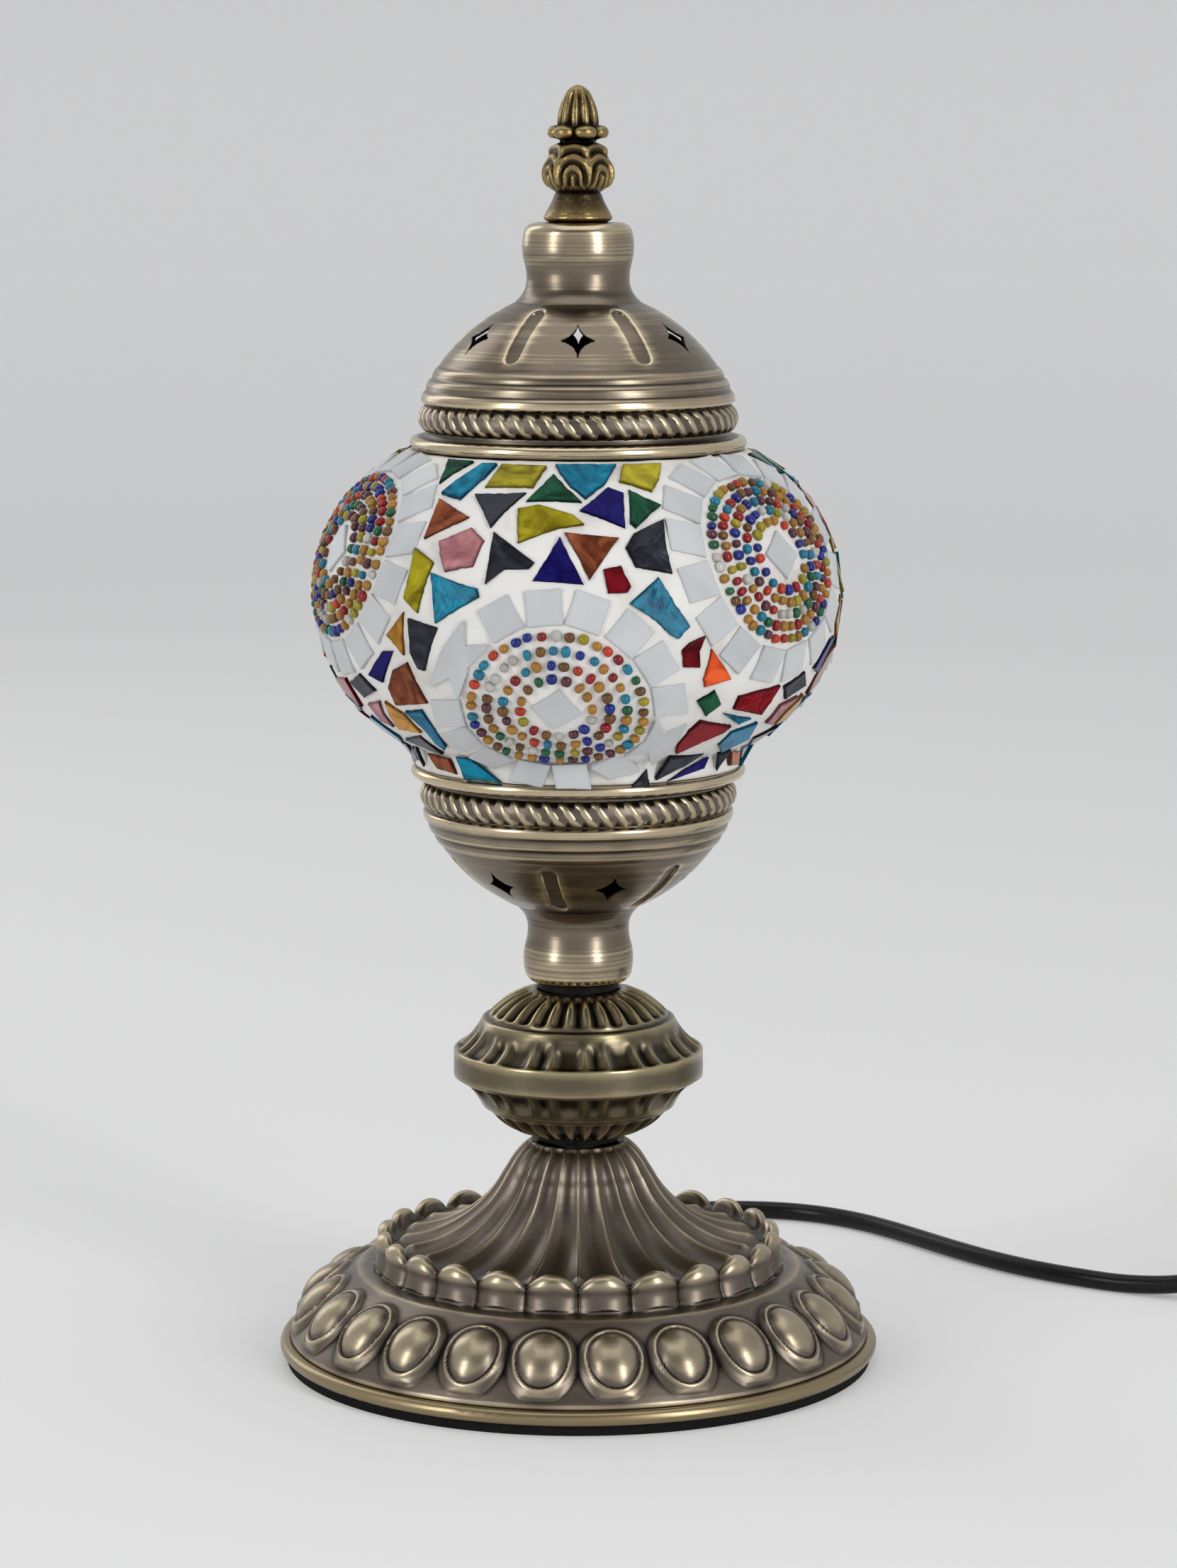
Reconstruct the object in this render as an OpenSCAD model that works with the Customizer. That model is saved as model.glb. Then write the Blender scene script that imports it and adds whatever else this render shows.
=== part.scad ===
// Mosaic glass table lamp: a spun brass base, knob and cup carry a glass globe
// covered in plaster, glass shards and beads, under a pierced cap that lifts off.
// Millimetres, +Z up, origin at the centre of the pad's underside.

/* [Base] */
// Outer radius of the rolled rim round the base
base_r = 76.9; // [74:0.1:79]
// Thickness of the pad under the base
pad_h = 2.2; // [1.5:0.1:3]
// Height of the base shell's top face
base_top_z = 56.9; // [55:0.1:60]
// Thickness of the cast ballast disc
ballast_h = 9.6; // [7:0.1:10]

/* [Stem] */
// Radius of the hollow threaded rod
rod_r = 4.9; // [4.5:0.05:5]
// Radius of the hole down the rod
rod_bore_r = 3.5; // [3:0.1:3.6]
// Height of each thin neck between the turned parts
neck_h = 1.8; // [1:0.1:3]
// Radius of those necks
neck_r = 10.3; // [9:0.1:10.6]
// Radius of the plain band round the knob
knob_r = 31.9; // [30:0.1:33]
// Height of one half of the knob, above or below its middle
knob_half_h = 19; // [18.5:0.1:19.5]

/* [Cup and cap] */
// Thickness of the spun sheet metal
sheet_t = 0.6; // [0.5:0.05:0.8]
// Height of the spun bell from the middle of its lip to its closed end
bell_h = 54.6; // [54:0.1:56]
// Radius of the middle of the rolled lip
lip_r = 40.85; // [40.5:0.05:41]
// Radius of the lip's own round section
lip_roll_r = 1.55; // [1.2:0.05:1.6]
// Number of pierced stars round a bell
star_count = 6; // [4:1:6]

/* [Globe] */
// Radius of the arc that the mosaic's outer face follows
arc_r = 41.5; // [41:0.1:42]
// Distance of that arc's centre from the axis
arc_offset = 25.4; // [25:0.1:26]
// Thickness of the glass wall
glass_t = 2.2; // [1.8:0.1:2.5]
// Thickness of the plaster that beds the mosaic
grout_t = 2.1; // [1.8:0.1:2.4]
// How far a tile stands proud of the plaster bed
tile_t = 0.8; // [0.6:0.1:1]
// Side of a white square tile
square_side = 8.8; // [8:0.1:8.9]

/* [Cord] */
// Diameter of the cord
cord_d = 5; // [4:0.1:5.5]
// Outer radius of the wound coil
coil_r = 42.5; // [42:0.5:45]
// Height of the wound coil
coil_h = 10.4; // [10.2:0.1:12]

/* [Bulb] */
// Radius of the bulb's globe
bulb_r = 22.5; // [17.5:0.5:24]

/* [Hidden] */
$fn = 96;

fit_gap = 0.1;                      // clearance between parts that slip together
plate_t = 1.2;
plate_top_z = pad_h + plate_t;
knob_mid_z = base_top_z + neck_h - 0.4 + knob_half_h;
lower_neck_h = neck_h - 0.4;
knob_top_z = knob_mid_z + knob_half_h;
cup_end_z = knob_top_z + neck_h;
cup_lip_z = cup_end_z + bell_h;
globe_z = cup_lip_z + 44.1;         // height of the globe's widest circle
grout_r = arc_r - tile_t;
glass_r = grout_r - grout_t;
globe_top_z = globe_z + 36.95;
cap_lip_z = globe_top_z + 0.3 + lip_roll_r;
cap_end_z = cap_lip_z + bell_h;
rod_top_z = cup_lip_z - 21.7;
holder_z = rod_top_z - 6;
bulb_z = globe_z;
inlet_z = 12;                      // height of the cord's entry in the base

// ---------- outline helpers ----------

// Points along a circular arc from p to q that bows by sag to the right of p->q
function arc(p, q, sag, n = 6) =
    let (d = q - p, len = norm(d), h = abs(sag),
         rad = (len * len / 4 + h * h) / (2 * h),
         side = [d[1], -d[0]] / len * sign(sag),
         c = (p + q) / 2 + side * (h - rad),
         a0 = atan2(p[1] - c[1], p[0] - c[0]),
         sweep = 2 * asin(len / 2 / rad) * sign(sag))
    [for (i = [0 : n]) let (a = a0 + sweep * i / n) c + rad * [cos(a), sin(a)]];

// The same path moved by t to its left
function beside(path, t) =
    [for (i = [0 : len(path) - 1])
        let (a = path[max(i - 1, 0)], b = path[min(i + 1, len(path) - 1)],
             d = (b - a) / norm(b - a))
        path[i] + t * [-d[1], d[0]]];

function reversed(path) = [for (i = [len(path) - 1 : -1 : 0]) path[i]];
function skin_of(path, t) = concat(path, reversed(beside(path, t)));

module spun(path, t) {
    rotate_extrude() polygon(skin_of(path, t));
}

module ring(r_in, r_out, z0, z1) {
    translate([0, 0, z0])
        difference() {
            cylinder(r = r_out, h = z1 - z0);
            translate([0, 0, -1]) cylinder(r = r_in, h = z1 - z0 + 2);
        }
}

module hex_nut(across, bore_r, z0, h) {
    translate([0, 0, z0])
        difference() {
            cylinder(r = across / sqrt(3), h = h, $fn = 6);
            translate([0, 0, -1]) cylinder(r = bore_r, h = h + 2);
        }
}

// One polyhedron swept along 3D points, with a regular section
function unit(v) = v / norm(v);
function tangent(p, i) = unit(p[min(i + 1, len(p) - 1)] - p[max(i - 1, 0)]);
module tube(points, r, sides = 8) {
    n = len(points);
    up = [0, 0, 1];
    verts = [for (i = [0 : n - 1])
        let (t = tangent(points, i), guide = abs(t[2]) > 0.9 ? [1, 0, 0] : up,
             u = unit(cross(guide, t)), v = cross(t, u))
        for (k = [0 : sides - 1])
            points[i] + r * (cos(360 * (k + 0.5) / sides) * u + sin(360 * (k + 0.5) / sides) * v)];
    walls = [for (i = [0 : n - 2]) for (k = [0 : sides - 1])
        let (a = i * sides + k, b = i * sides + (k + 1) % sides)
        [a, a + sides, b + sides, b]];
    ends = [[for (k = [0 : sides - 1]) k],
            [for (k = [sides - 1 : -1 : 0]) (n - 1) * sides + k]];
    polyhedron(verts, concat(walls, ends));
}

// ---------- base ----------

module base_pad() color("black") ring(15, base_r - 1.7, 0, pad_h);

rim_roll_r = 1.9;
rim_z = pad_h + 2;
module base_plate() color("darkgoldenrod") {
    ring(14, base_r - rim_roll_r, pad_h, plate_top_z);
    rotate_extrude() translate([base_r - rim_roll_r, rim_z]) circle(r = rim_roll_r, $fn = 32);
}

module ballast() color("dimgray")
    difference() {
        translate([0, 0, plate_top_z]) cylinder(r1 = base_r - 11, r2 = base_r - 17, h = ballast_h);
        translate([0, 0, plate_top_z - 1]) cylinder(r = 14, h = 6);
        translate([0, 0, plate_top_z]) cylinder(r = rod_r + 0.3, h = ballast_h + 1);
    }

// The shell's outside from the rim up to its neck: shoulder, fluted ring and cone
shell_path = concat(
    [[base_r - 2.6, 6.15], [base_r - 2.7, 7.2]],
    arc([base_r - 3.6, 8.6], [base_r - 19.4, 23.2], 1.2, 8),
    arc([base_r - 20.4, 23.8], [52.4, 24.1], 0.1, 2),
    [[51.4, 24.5], [51.6, 28], [51.3, 31.4]],
    arc([50.9, 32.2], [48.4, 32.4], 0.5, 4),
    arc([46.5, 31.8], [19.3, base_top_z - 8.5], -4.6, 10),
    arc([18.9, base_top_z - 8], [14.2, base_top_z - 0.9], -0.3, 4),
    [[13.4, base_top_z - 0.1]]);

module base_shell() color("tan")
    difference() {
        union() {
            spun(shell_path, 0.8);
            ring(rod_r + 0.2, 13.4, base_top_z - 0.9, base_top_z);
        }
        translate([0, base_r - 20, inlet_z]) rotate([-90, 0, 0]) cylinder(r = 4, h = 30);
    }

// ---------- stem ----------

module stem_rod() color("silver")
    difference() {
        translate([0, 0, pad_h + 0.3]) cylinder(r = rod_r, h = rod_top_z - pad_h - 0.3);
        translate([0, 0, pad_h - 1]) cylinder(r = rod_bore_r, h = rod_top_z);
        translate([0, 0, 22.3]) rotate([-90, 0, 0]) cylinder(r = 3.4, h = 10);
    }

washer_z = plate_top_z + 3.4;
module bottom_washer() color("silver") ring(rod_r + fit_gap, 11, washer_z, plate_top_z + 5);
module bottom_nut() color("silver") hex_nut(17, rod_r + 0.05, washer_z - 4, 4);

module lower_neck() color("black") ring(rod_r + fit_gap, neck_r, base_top_z, base_top_z + lower_neck_h);
module upper_neck() color("black") ring(rod_r + fit_gap, neck_r, knob_top_z, cup_end_z);

// Outside of one knob half from the band to its end, with the height from the middle
band_half_h = 3.3;
function knob_path(start) = concat(start,
    arc([knob_r, band_half_h], [24.2, 11.2], -0.9, 6),
    arc([23.4, 11.6], [13.4, 18.2], 1.1, 6),
    [[11.5, knob_half_h]]);
module knob_end() ring(rod_r + fit_gap, 11.5, knob_half_h - 0.8, knob_half_h);

module knob_upper() color("tan") translate([0, 0, knob_mid_z]) {
    spun(knob_path([[knob_r, -band_half_h]]), sheet_t);
    knob_end();
}

module knob_lower() color("tan") translate([0, 0, knob_mid_z]) mirror([0, 0, 1]) {
    skirt_r = knob_r - sheet_t - fit_gap;
    difference() {
        spun(knob_path([]), sheet_t);
        cylinder(r = knob_r + 1, h = 2 * (band_half_h + 0.01), center = true);
    }
    ring(skirt_r - sheet_t, skirt_r, 1.2, band_half_h + 0.6);
    knob_end();
}

// ---------- spun bell used for the cup and, upside down, for the cap ----------

bell_wall_r = 38.3;
bell_path = concat(
    [[bell_wall_r, -1.2], [bell_wall_r, 9.6]],
    arc([39.4, 10], [38.8, 12.6], 0.25, 2),
    arc([38.2, 13], [37.4, 15.7], 0.2, 2),
    arc([36.7, 16], [35.6, 18.6], 0.2, 2),
    arc([35, 18.9], [15.8, 34.8], 1.75, 10),
    arc([15.4, 35.3], [12.9, 41.2], -0.8, 4),
    arc([12.95, 42.2], [13.7, 45.6], -0.1, 2),
    arc([13.8, 46.2], [13.8, 51.2], 0.2, 4),
    arc([13.7, 51.6], [11, bell_h], 0.8, 4));

// Four-pointed star with hollow sides
module star_shape(w, h) {
    tips = [[w, 0], [0, h], [-w, 0], [0, -h]];
    polygon([for (i = [0 : 3]) each arc(tips[i], tips[(i + 1) % 4], -0.85, 4)]);
}

star_s = 26.2;                      // height of the stars' middles on the bell
module bell(hole_r, star_az) {
    difference() {
        union() {
            spun(bell_path, sheet_t);
            ring(hole_r, 11.6, bell_h - 1, bell_h);
        }
        for (k = [0 : star_count - 1])
            rotate([0, 0, star_az + 360 * k / star_count])
                translate([21.3, 0, star_s - 4.2]) rotate([0, 40, 0])
                    linear_extrude(16) rotate([0, 0, 90]) star_shape(4.1, 5.4);
    }
    difference() {
        rotate_extrude() translate([lip_r, 0]) circle(r = lip_roll_r, $fn = 32);
        cylinder(r = bell_wall_r - 0.3, h = 4, center = true);
    }
    ring(bell_wall_r - 0.3, lip_r, -lip_roll_r, -lip_roll_r + 0.7);
}

rope_s = [2.8, 9.4];                // the rope's edges, measured from the lip
module rope() rotate_extrude()
    polygon(arc([bell_wall_r + 0.02, rope_s[0]], [bell_wall_r + 0.02, rope_s[1]], 1.95, 8));

module lower_cup() color("tan")
    translate([0, 0, cup_lip_z]) mirror([0, 0, 1]) bell(rod_r + 0.2, 47);
module lower_rope() color("peru") translate([0, 0, cup_lip_z]) mirror([0, 0, 1]) rope();
module cup_washer() color("silver") ring(rod_r + fit_gap, 9.5, cup_end_z + 1, cup_end_z + 2.2);
module cup_nut() color("silver") hex_nut(16, rod_r + 0.05, cup_end_z + 2.2, 4.4);

// ---------- globe ----------

// Height angles above or below the globe's widest circle, in degrees
neck_lat = -66;
function arc_point(rad, lat) = [arc_offset + rad * cos(lat), globe_z + rad * sin(lat)];
function globe_arc(rad, lat0, lat1, n) =
    [for (i = [0 : n]) arc_point(rad, lat0 + (lat1 - lat0) * i / n)];

glass_neck_r = 37;
glass_foot_z = cup_lip_z - 3.7;
glass_outside = concat([[glass_neck_r, glass_foot_z]], globe_arc(glass_r, -72.5, 64, 24));
glass_inside = concat([[glass_neck_r - glass_t, glass_foot_z]],
    globe_arc(glass_r - glass_t, -75, 64, 24));

module globe_glass() color("white", 0.4)
    rotate_extrude() polygon(concat(glass_outside, reversed(glass_inside)));

grout_foot_z = cup_lip_z + lip_roll_r + 0.1;
module grout() color("white")
    rotate_extrude() polygon(concat(
        [[glass_neck_r + 0.02, grout_foot_z], [41.4, grout_foot_z], [41.6, grout_foot_z + 3]],
        globe_arc(grout_r, neck_lat, 65.2, 24),
        [[41.2, globe_top_z], [39.8, globe_top_z], [38.6, globe_top_z - 0.5],
         [38.2, globe_top_z - 2], arc_point(glass_r, 64)],
        reversed(globe_arc(glass_r, -72.5, 64, 24))));

module globe_seat() color("gainsboro")
    ring(glass_neck_r + 0.02, bell_wall_r - sheet_t - 0.02, cup_lip_z - 5.5, cup_lip_z + 1.4);

// Point on the mosaic at an azimuth (0 faces the front, + to the right) and a
// height angle, at a radius rad along the arc; below the neck the wall is upright
function on_globe(az, lat, rad) =
    let (e = max(lat, neck_lat), p = arc_point(rad, e),
         drop = min((e - lat) * arc_r * PI / 180, 5.3))
    [p[0] * sin(az), -p[0] * cos(az), p[1] - drop];

// Azimuth and height angle of a point at x, y along the surface from a centre
function from_centre(c, x, y) =
    let (lat = c[1] + y / arc_r * 180 / PI,
         r = arc_offset + arc_r * cos(max(lat, neck_lat)))
    [c[0] + x / r * 180 / PI, lat];

function area2(o) = [for (i = 0, s = 0; i <= len(o); s = s + (i < len(o)
    ? o[i][0] * o[(i + 1) % len(o)][1] - o[(i + 1) % len(o)][0] * o[i][1] : 0), i = i + 1) s][len(o)];
function middle(o) = [for (k = [0, 1]) [for (i = 0, s = 0; i <= len(o);
    s = s + (i < len(o) ? o[i][k] : 0), i = i + 1) s][len(o)] / len(o)];

// A piece of glass from its outline in azimuth and height angle
module tile(outline, low = grout_r + 0.02, high = arc_r) {
    o = area2(outline) > 0 ? outline : reversed(outline);
    n = len(o);
    m = middle(o);
    verts = concat([for (p = o) on_globe(p[0], p[1], low)],
                   [for (p = o) on_globe(p[0], p[1], high)],
                   [on_globe(m[0], m[1], low), on_globe(m[0], m[1], high)]);
    polyhedron(verts, [for (i = [0 : n - 1]) let (j = (i + 1) % n)
        each [[2 * n, i, j], [2 * n + 1, n + j, n + i], [i, n + i, n + j, j]]]);
}

// Medallions: centre, half width and half height of the outer bead ring, how many
// bead rings, and half width and half height of the ring of squares
repeats = 3;                        // the pattern repeats round the globe
low_medal = [[-5, -31.5], 21.6, 20.2, 4, 28.4, 26.9];
high_medal = [[51.3, 20.3], 22, 21, 5, 28.8, 27.8];

// Squares set round a medallion in a ring, each turned to face its middle
function square_at(c, x, y, turn, side) = [for (q = [[-1, -1], [1, -1], [1, 1], [-1, 1]])
    let (u = q[0] * side / 2, v = q[1] * side / 2)
    from_centre(c, x + u * cos(turn) - v * sin(turn), y + u * sin(turn) + v * cos(turn))];

square_count = 16;
module squares(medal, start) {
    for (k = [0 : square_count - 1])
        let (a = start + 360 * k / square_count + 0.7 * sin(140 * k))
            tile(square_at(medal[0], medal[4] * cos(a), medal[5] * sin(a),
                a + 2 * sin(95 * k), square_side));
    tile(square_at(medal[0], 0, 0, start + 30, square_side));
}

module tiles_white() color("white")
    for (k = [0 : repeats - 1]) rotate([0, 0, 120 * k]) {
        squares(low_medal, 5);
        squares(high_medal, 10);
    }

// Shards of one colour: outlines in azimuth and height angle, repeated round the globe
module shards(outlines)
    for (k = [0 : repeats - 1]) rotate([0, 0, 120 * k])
        for (o = outlines) tile(o);

module tiles_green() color("darkgreen") shards([
    [[-46, 63], [-35, 63], [-40.5, 50]],
    [[-7, 57], [-13, 43.8], [1, 43.4]],
    [[13.5, 49], [21, 41.8], [13.5, 33], [12.3, 35]],
    [[32, -25], [35, -31], [31.8, -36], [28, -29]]]);

module tiles_teal() color("teal") shards([
    [[-31, 62], [-26, 62], [-27, 54], [-31, 43.5], [-37.5, 45.5], [-36, 52]],
    [[-7, 62], [12, 62], [7.5, 52], [2, 45], [-2, 50.5], [-5, 57]],
    [[-33, 16], [-26, 13], [-21.5, 11.5], [-21, 8.5], [-31, -1]],
    [[17.3, 15.5], [24, -1.5], [21.3, -5.5], [19.5, -4], [15, 2.5], [10.8, 6.8]],
    [[-42, -61], [-42, -72], [-27, -72], [-36, -62]]]);

module tiles_blue() color("steelblue") shards([
    [[52.5, -42.5], [57.5, -53], [50, -60], [44, -54], [44, -46]],
    [[37, -35.5], [48, -39.5], [44.5, -42]],
    [[-46, -36], [-39.8, -34.5], [-39.3, -44], [-40.5, -54], [-42, -56], [-43.8, -53], [-44.4, -43]]]);

module tiles_olive() color("olive") shards([
    [[-24.5, 62], [-9.5, 61], [-12, 50], [-25.5, 49.5]],
    [[14, 62], [27, 62], [23.5, 54], [19.8, 47.8], [11.5, 53]],
    [[-14.8, 40.5], [-9.5, 42.5], [-1, 38.2], [1.5, 34.5], [-5, 32.8], [-13.5, 27.5]],
    [[-38.2, 24], [-32.8, 19.5], [-35.5, 2], [-39.5, 6.5], [-39, 14]]]);

module tiles_amber() color("darkorange") shards([
    [[-39.3, 2], [-40, -13], [-44.5, -6.5]],
    [[-52, -32.5], [-47.3, -37.5], [-45.5, -46.5], [-55, -46.5], [-54.5, -40]]]);

module tiles_charcoal() color("dimgray") shards([
    [[-27.5, 46], [-13.5, 47.5], [-20.5, 33]],
    [[-19.5, 31.5], [-9.3, 20.8], [-10.5, 18.5], [-16, 18], [-19.8, 13]],
    [[20.5, 36], [20, 28], [20.5, 16.5], [12.5, 19], [10.6, 26], [12.8, 31]],
    [[-38, 0], [-30.5, -2.5], [-35, -18], [-36.5, -17.5], [-38.3, -12]],
    [[-65.5, -27], [-58, -22.5], [-53.6, -28.5], [-61.5, -33]],
    [[29, -59.5], [44, -61.5], [38, -66.5], [27, -72]],
    [[23.8, -67], [25, -73], [18, -73.5]],
    [[-59, -53.5], [-48, -49], [-47, -61], [-52, -59.5]],
    [[51, -62], [57, -61], [54.5, -71]]]);

module tiles_indigo() color("midnightblue") shards([
    [[8, 50], [12, 47.5], [11, 33], [0.5, 40]],
    [[-4, 30], [-9.5, 14.5], [1.3, 13.5]],
    [[-46.5, -12.5], [-43.2, -12], [-49.3, -24.5], [-53.5, -22], [-50, -17]],
    [[48, -63], [48, -69], [32, -72], [39.5, -68]]]);

module tiles_dark_red() color("darkred") shards([
    [[5.5, 18.5], [9.3, 19.8], [11.3, 12.5], [10.5, 10.5], [6.3, 10.3]],
    [[27.5, -5], [26.5, -10], [27, -16], [23, -15.5], [22.3, -9.5], [24, -7]],
    [[52.5, -26], [52.3, -33], [51.3, -38.5], [39.5, -34], [39.5, -28.5], [44.5, -27.5]],
    [[31, -38], [42, -42], [41.3, -45.5], [30, -57], [28.3, -52], [29, -43]]]);

module tiles_orange() color("orangered") shards([
    [[29.3, -9.5], [33.8, -17.5], [35.5, -21], [29, -23.5], [28.3, -20.5]]]);

module tiles_brown() color("sienna") shards([
    [[-37.3, 43.5], [-26.5, 36.5], [-28.5, 34.5], [-36.8, 27.5]],
    [[-3, 31.5], [9.3, 29.5], [2.5, 15]],
    [[-39.5, -15.5], [-37, -31], [-40, -32], [-48, -33.5], [-48.3, -26.5], [-44.5, -19]],
    [[-59, -63], [-48.5, -65], [-46, -71], [-56, -70]]]);

module tiles_pink() color("rosybrown") shards([
    [[-25, 32.5], [-21.3, 28], [-23, 18.8], [-29.5, 16.5], [-31.7, 22.5], [-32.5, 27]],
    [[-62, -35.5], [-54.5, -33], [-57, -39.5], [-57.5, -46], [-62.5, -44]]]);

// A string of beads round a medallion, as one closed band
module bead_ring(c, half_w, half_h) {
    steps = 28;
    bead_w = 1.3;
    verts = [for (i = [0 : steps - 1]) let (a = 360 * i / steps)
        for (q = [[-bead_w, grout_r + 0.02], [bead_w, grout_r + 0.02],
                  [bead_w * 0.6, arc_r + 0.5], [-bead_w * 0.6, arc_r + 0.5]])
            let (g = from_centre(c, (half_w + q[0]) * cos(a), (half_h + q[0]) * sin(a)))
            on_globe(g[0], g[1], q[1])];
    polyhedron(verts, [for (i = [0 : steps - 1]) for (k = [0 : 3])
        let (a = 4 * i + k, b = 4 * i + (k + 1) % 4,
             shift = 4 * ((i + 1) % steps) - 4 * i)
        [a, b, b + shift, a + shift]]);
}

bead_pitch = 3.5;                   // from one ring of beads to the next
inner_ring_r = 8.9;
module bead_rings() color("goldenrod")
    for (k = [0 : repeats - 1]) rotate([0, 0, 120 * k])
        for (m = [low_medal, high_medal]) for (j = [0 : m[3] - 1])
            let (f = j / (m[3] - 1))
            bead_ring(m[0], inner_ring_r + f * (m[1] - inner_ring_r),
                inner_ring_r + f * (m[2] - inner_ring_r));

// ---------- lamp holder, bulb and inner wires ----------

holder_r = 14;
holder_top_z = holder_z + 39;
core_z = holder_z + 13;
module holder_base() color("ivory") {
    difference() {
        translate([0, 0, holder_z]) cylinder(r1 = 8.5, r2 = holder_r, h = 12);
        translate([0, 0, holder_z - 1]) cylinder(r = rod_r + 0.05, h = 14);
        translate([0, 0, holder_z + 8]) cylinder(r = 9.5, h = 5);
    }
}
module holder_body() color("ivory") ring(11, holder_r, holder_z + 12, holder_top_z);
module holder_core() color("white")
    difference() {
        translate([0, 0, core_z]) cylinder(r = 10.9, h = 5);
        for (x = [-5.5, 5.5]) translate([x, 0, core_z - 1]) cylinder(r = 1.2, h = 7);
    }
module holder_shell() color("gold") ring(7.5, 8.1, core_z + 5, holder_top_z - 3);
module holder_contact() color("gold") translate([-2, -4.5, core_z + 5]) cube([4, 9, 0.8]);

module inner_wires() color("sienna")
    for (x = [-1.2, 1.2])
        tube([[x, relief_start_y, inlet_z], [x, 64.5, 12.6], [x, 61.5, 15], [x, 56, 16],
              [x, 40, 16], [x, 20, 17], [x, 10, 19.5], [x, 4, 23], [x, 1, 28], [x, 0, 36],
              [x, 0, 90], [x, 0, rod_top_z + 3]], 1);

cap_r = 7;
bulb_foot_z = core_z + 6;
module bulb_tip() color("silver") translate([0, 0, bulb_foot_z]) cylinder(r1 = 2, r2 = 3, h = 1.4);
module bulb_cap() color("silver") {
    translate([0, 0, bulb_foot_z + 1.4]) cylinder(r1 = 4.4, r2 = cap_r, h = 3);
    translate([0, 0, bulb_foot_z + 4.4]) cylinder(r = cap_r, h = 15);
}
housing_z = bulb_foot_z + 19.4;
housing_top_z = bulb_z - 15;
housing_top_r = sqrt(bulb_r * bulb_r - 15 * 15);
module bulb_housing() color("white")
    translate([0, 0, housing_z]) cylinder(r1 = cap_r + 1, r2 = housing_top_r, h = housing_top_z - housing_z);
module bulb_glass() color("white", 0.8)
    intersection() {
        translate([0, 0, bulb_z]) sphere(r = bulb_r);
        translate([0, 0, housing_top_z]) cylinder(r = bulb_r + 1, h = 2 * bulb_r);
    }

// ---------- cap ----------

stud_r = 2.95;
finial_z = cap_end_z;
module cap_shell() color("tan") translate([0, 0, cap_lip_z]) bell(stud_r + 0.15, 30);
module cap_rope() color("peru") translate([0, 0, cap_lip_z]) rope();
module cap_washer() color("silver") ring(stud_r + fit_gap, 8, cap_end_z - 2, cap_end_z - 1);
module cap_nut() color("silver") hex_nut(10, stud_r + 0.05, cap_end_z - 6.5, 4.5);
module finial_stud() color("silver")
    translate([0, 0, cap_end_z - 9]) cylinder(r = stud_r, h = 18.5);

// The finial's outline: flared foot, thin neck, leafy bulb, ring of leaf tips and bud
module finial() color("goldenrod")
    difference() {
        translate([0, 0, finial_z])
            rotate_extrude()
                polygon(concat([[0, 0], [6.6, 0]],
                    arc([7.6, 0.5], [8.2, 2.8], 0.7, 4),
                    arc([7.6, 4.2], [5.9, 7.3], -0.5, 4),
                    arc([6.1, 8], [6.4, 19.2], 2.6, 8),
                    arc([6.6, 19.8], [5.5, 24.5], 1.2, 4),
                    arc([5.3, 25], [0, 34], 1.5, 8)));
        translate([0, 0, finial_z - 1]) cylinder(r = stud_r + 0.05, h = 10.7);
    }

// ---------- cord, switch and plug ----------

cord_r = cord_d / 2;
relief_start_y = 66;
relief_grip_l = 7;
relief_end_y = 97;
module strain_relief() color("black") {
    translate([0, relief_start_y, inlet_z]) rotate([-90, 0, 0]) cylinder(r = 3.9, h = relief_grip_l);
    translate([0, relief_start_y + relief_grip_l, inlet_z]) rotate([-90, 0, 0])
        cylinder(r1 = 3.9, r2 = 3.1, h = relief_end_y - relief_start_y - relief_grip_l);
}

// Middle of the in-line switch and of the coil
switch_at = [207, 52.5, 0];
switch_l = 60;
coil_at = [286, 92, 0];
plug_at = [226, 158, 7];

// The cord's route over the table, from the base to the switch
lead_route = [[0, 97, 12], [0, 103, 11.5], [1.5, 112, 8.5], [5, 121, 5], [10.5, 129, 3],
    [18, 136, 2.5], [27, 141, 2.5], [37, 144, 2.5], [48, 144.5, 2.5], [60, 142.5, 2.5],
    [71, 137.5, 2.5], [81, 129.5, 2.5], [90, 119, 2.5], [98, 108, 2.5], [106, 97, 2.5],
    [115, 86, 2.5], [125, 76, 2.5], [136, 67.5, 2.5], [148, 60.5, 2.5], [160, 55.5, 3.5],
    [169, 53.2, 5.5], [177, 52.5, 6.5]];
link_route = [[237, 52.5, 6.5], [245, 52.5, 5.8], [253, 52.5, 4.2], [261, 52.5, 2.9],
    [266, 52.5, 2.7]];
tail_route = [[288.5, 132.1, 7.7], [284.4, 134.2, 7.7], [280.7, 136.9, 7.6], [277.7, 140.3, 7.5],
    [275.3, 144.3, 7.4], [272.5, 148.9, 7.3], [268.7, 152.7, 7.2], [264.1, 155.6, 7.1],
    [259, 157.4, 7], [254, 158, 7], [250, 158, 7]];

module cord_lead() color("black") tube(lead_route, cord_r);
module cord_link() color("black") tube(link_route, cord_r);
module cord_tail() color("black") tube(tail_route, cord_r);

coil_w = 24.4;                      // radial width of the wound turns
module cord_coil() color("black") translate(coil_at)
    rotate_extrude()
        polygon([[coil_r - coil_w, 1.2], [coil_r - coil_w + 1.2, 0], [coil_r - 1.2, 0],
                 [coil_r, 1.2], [coil_r, coil_h - 1.2], [coil_r - 1.2, coil_h],
                 [coil_r - coil_w + 1.2, coil_h], [coil_r - coil_w, coil_h - 1.2]]);

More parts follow.
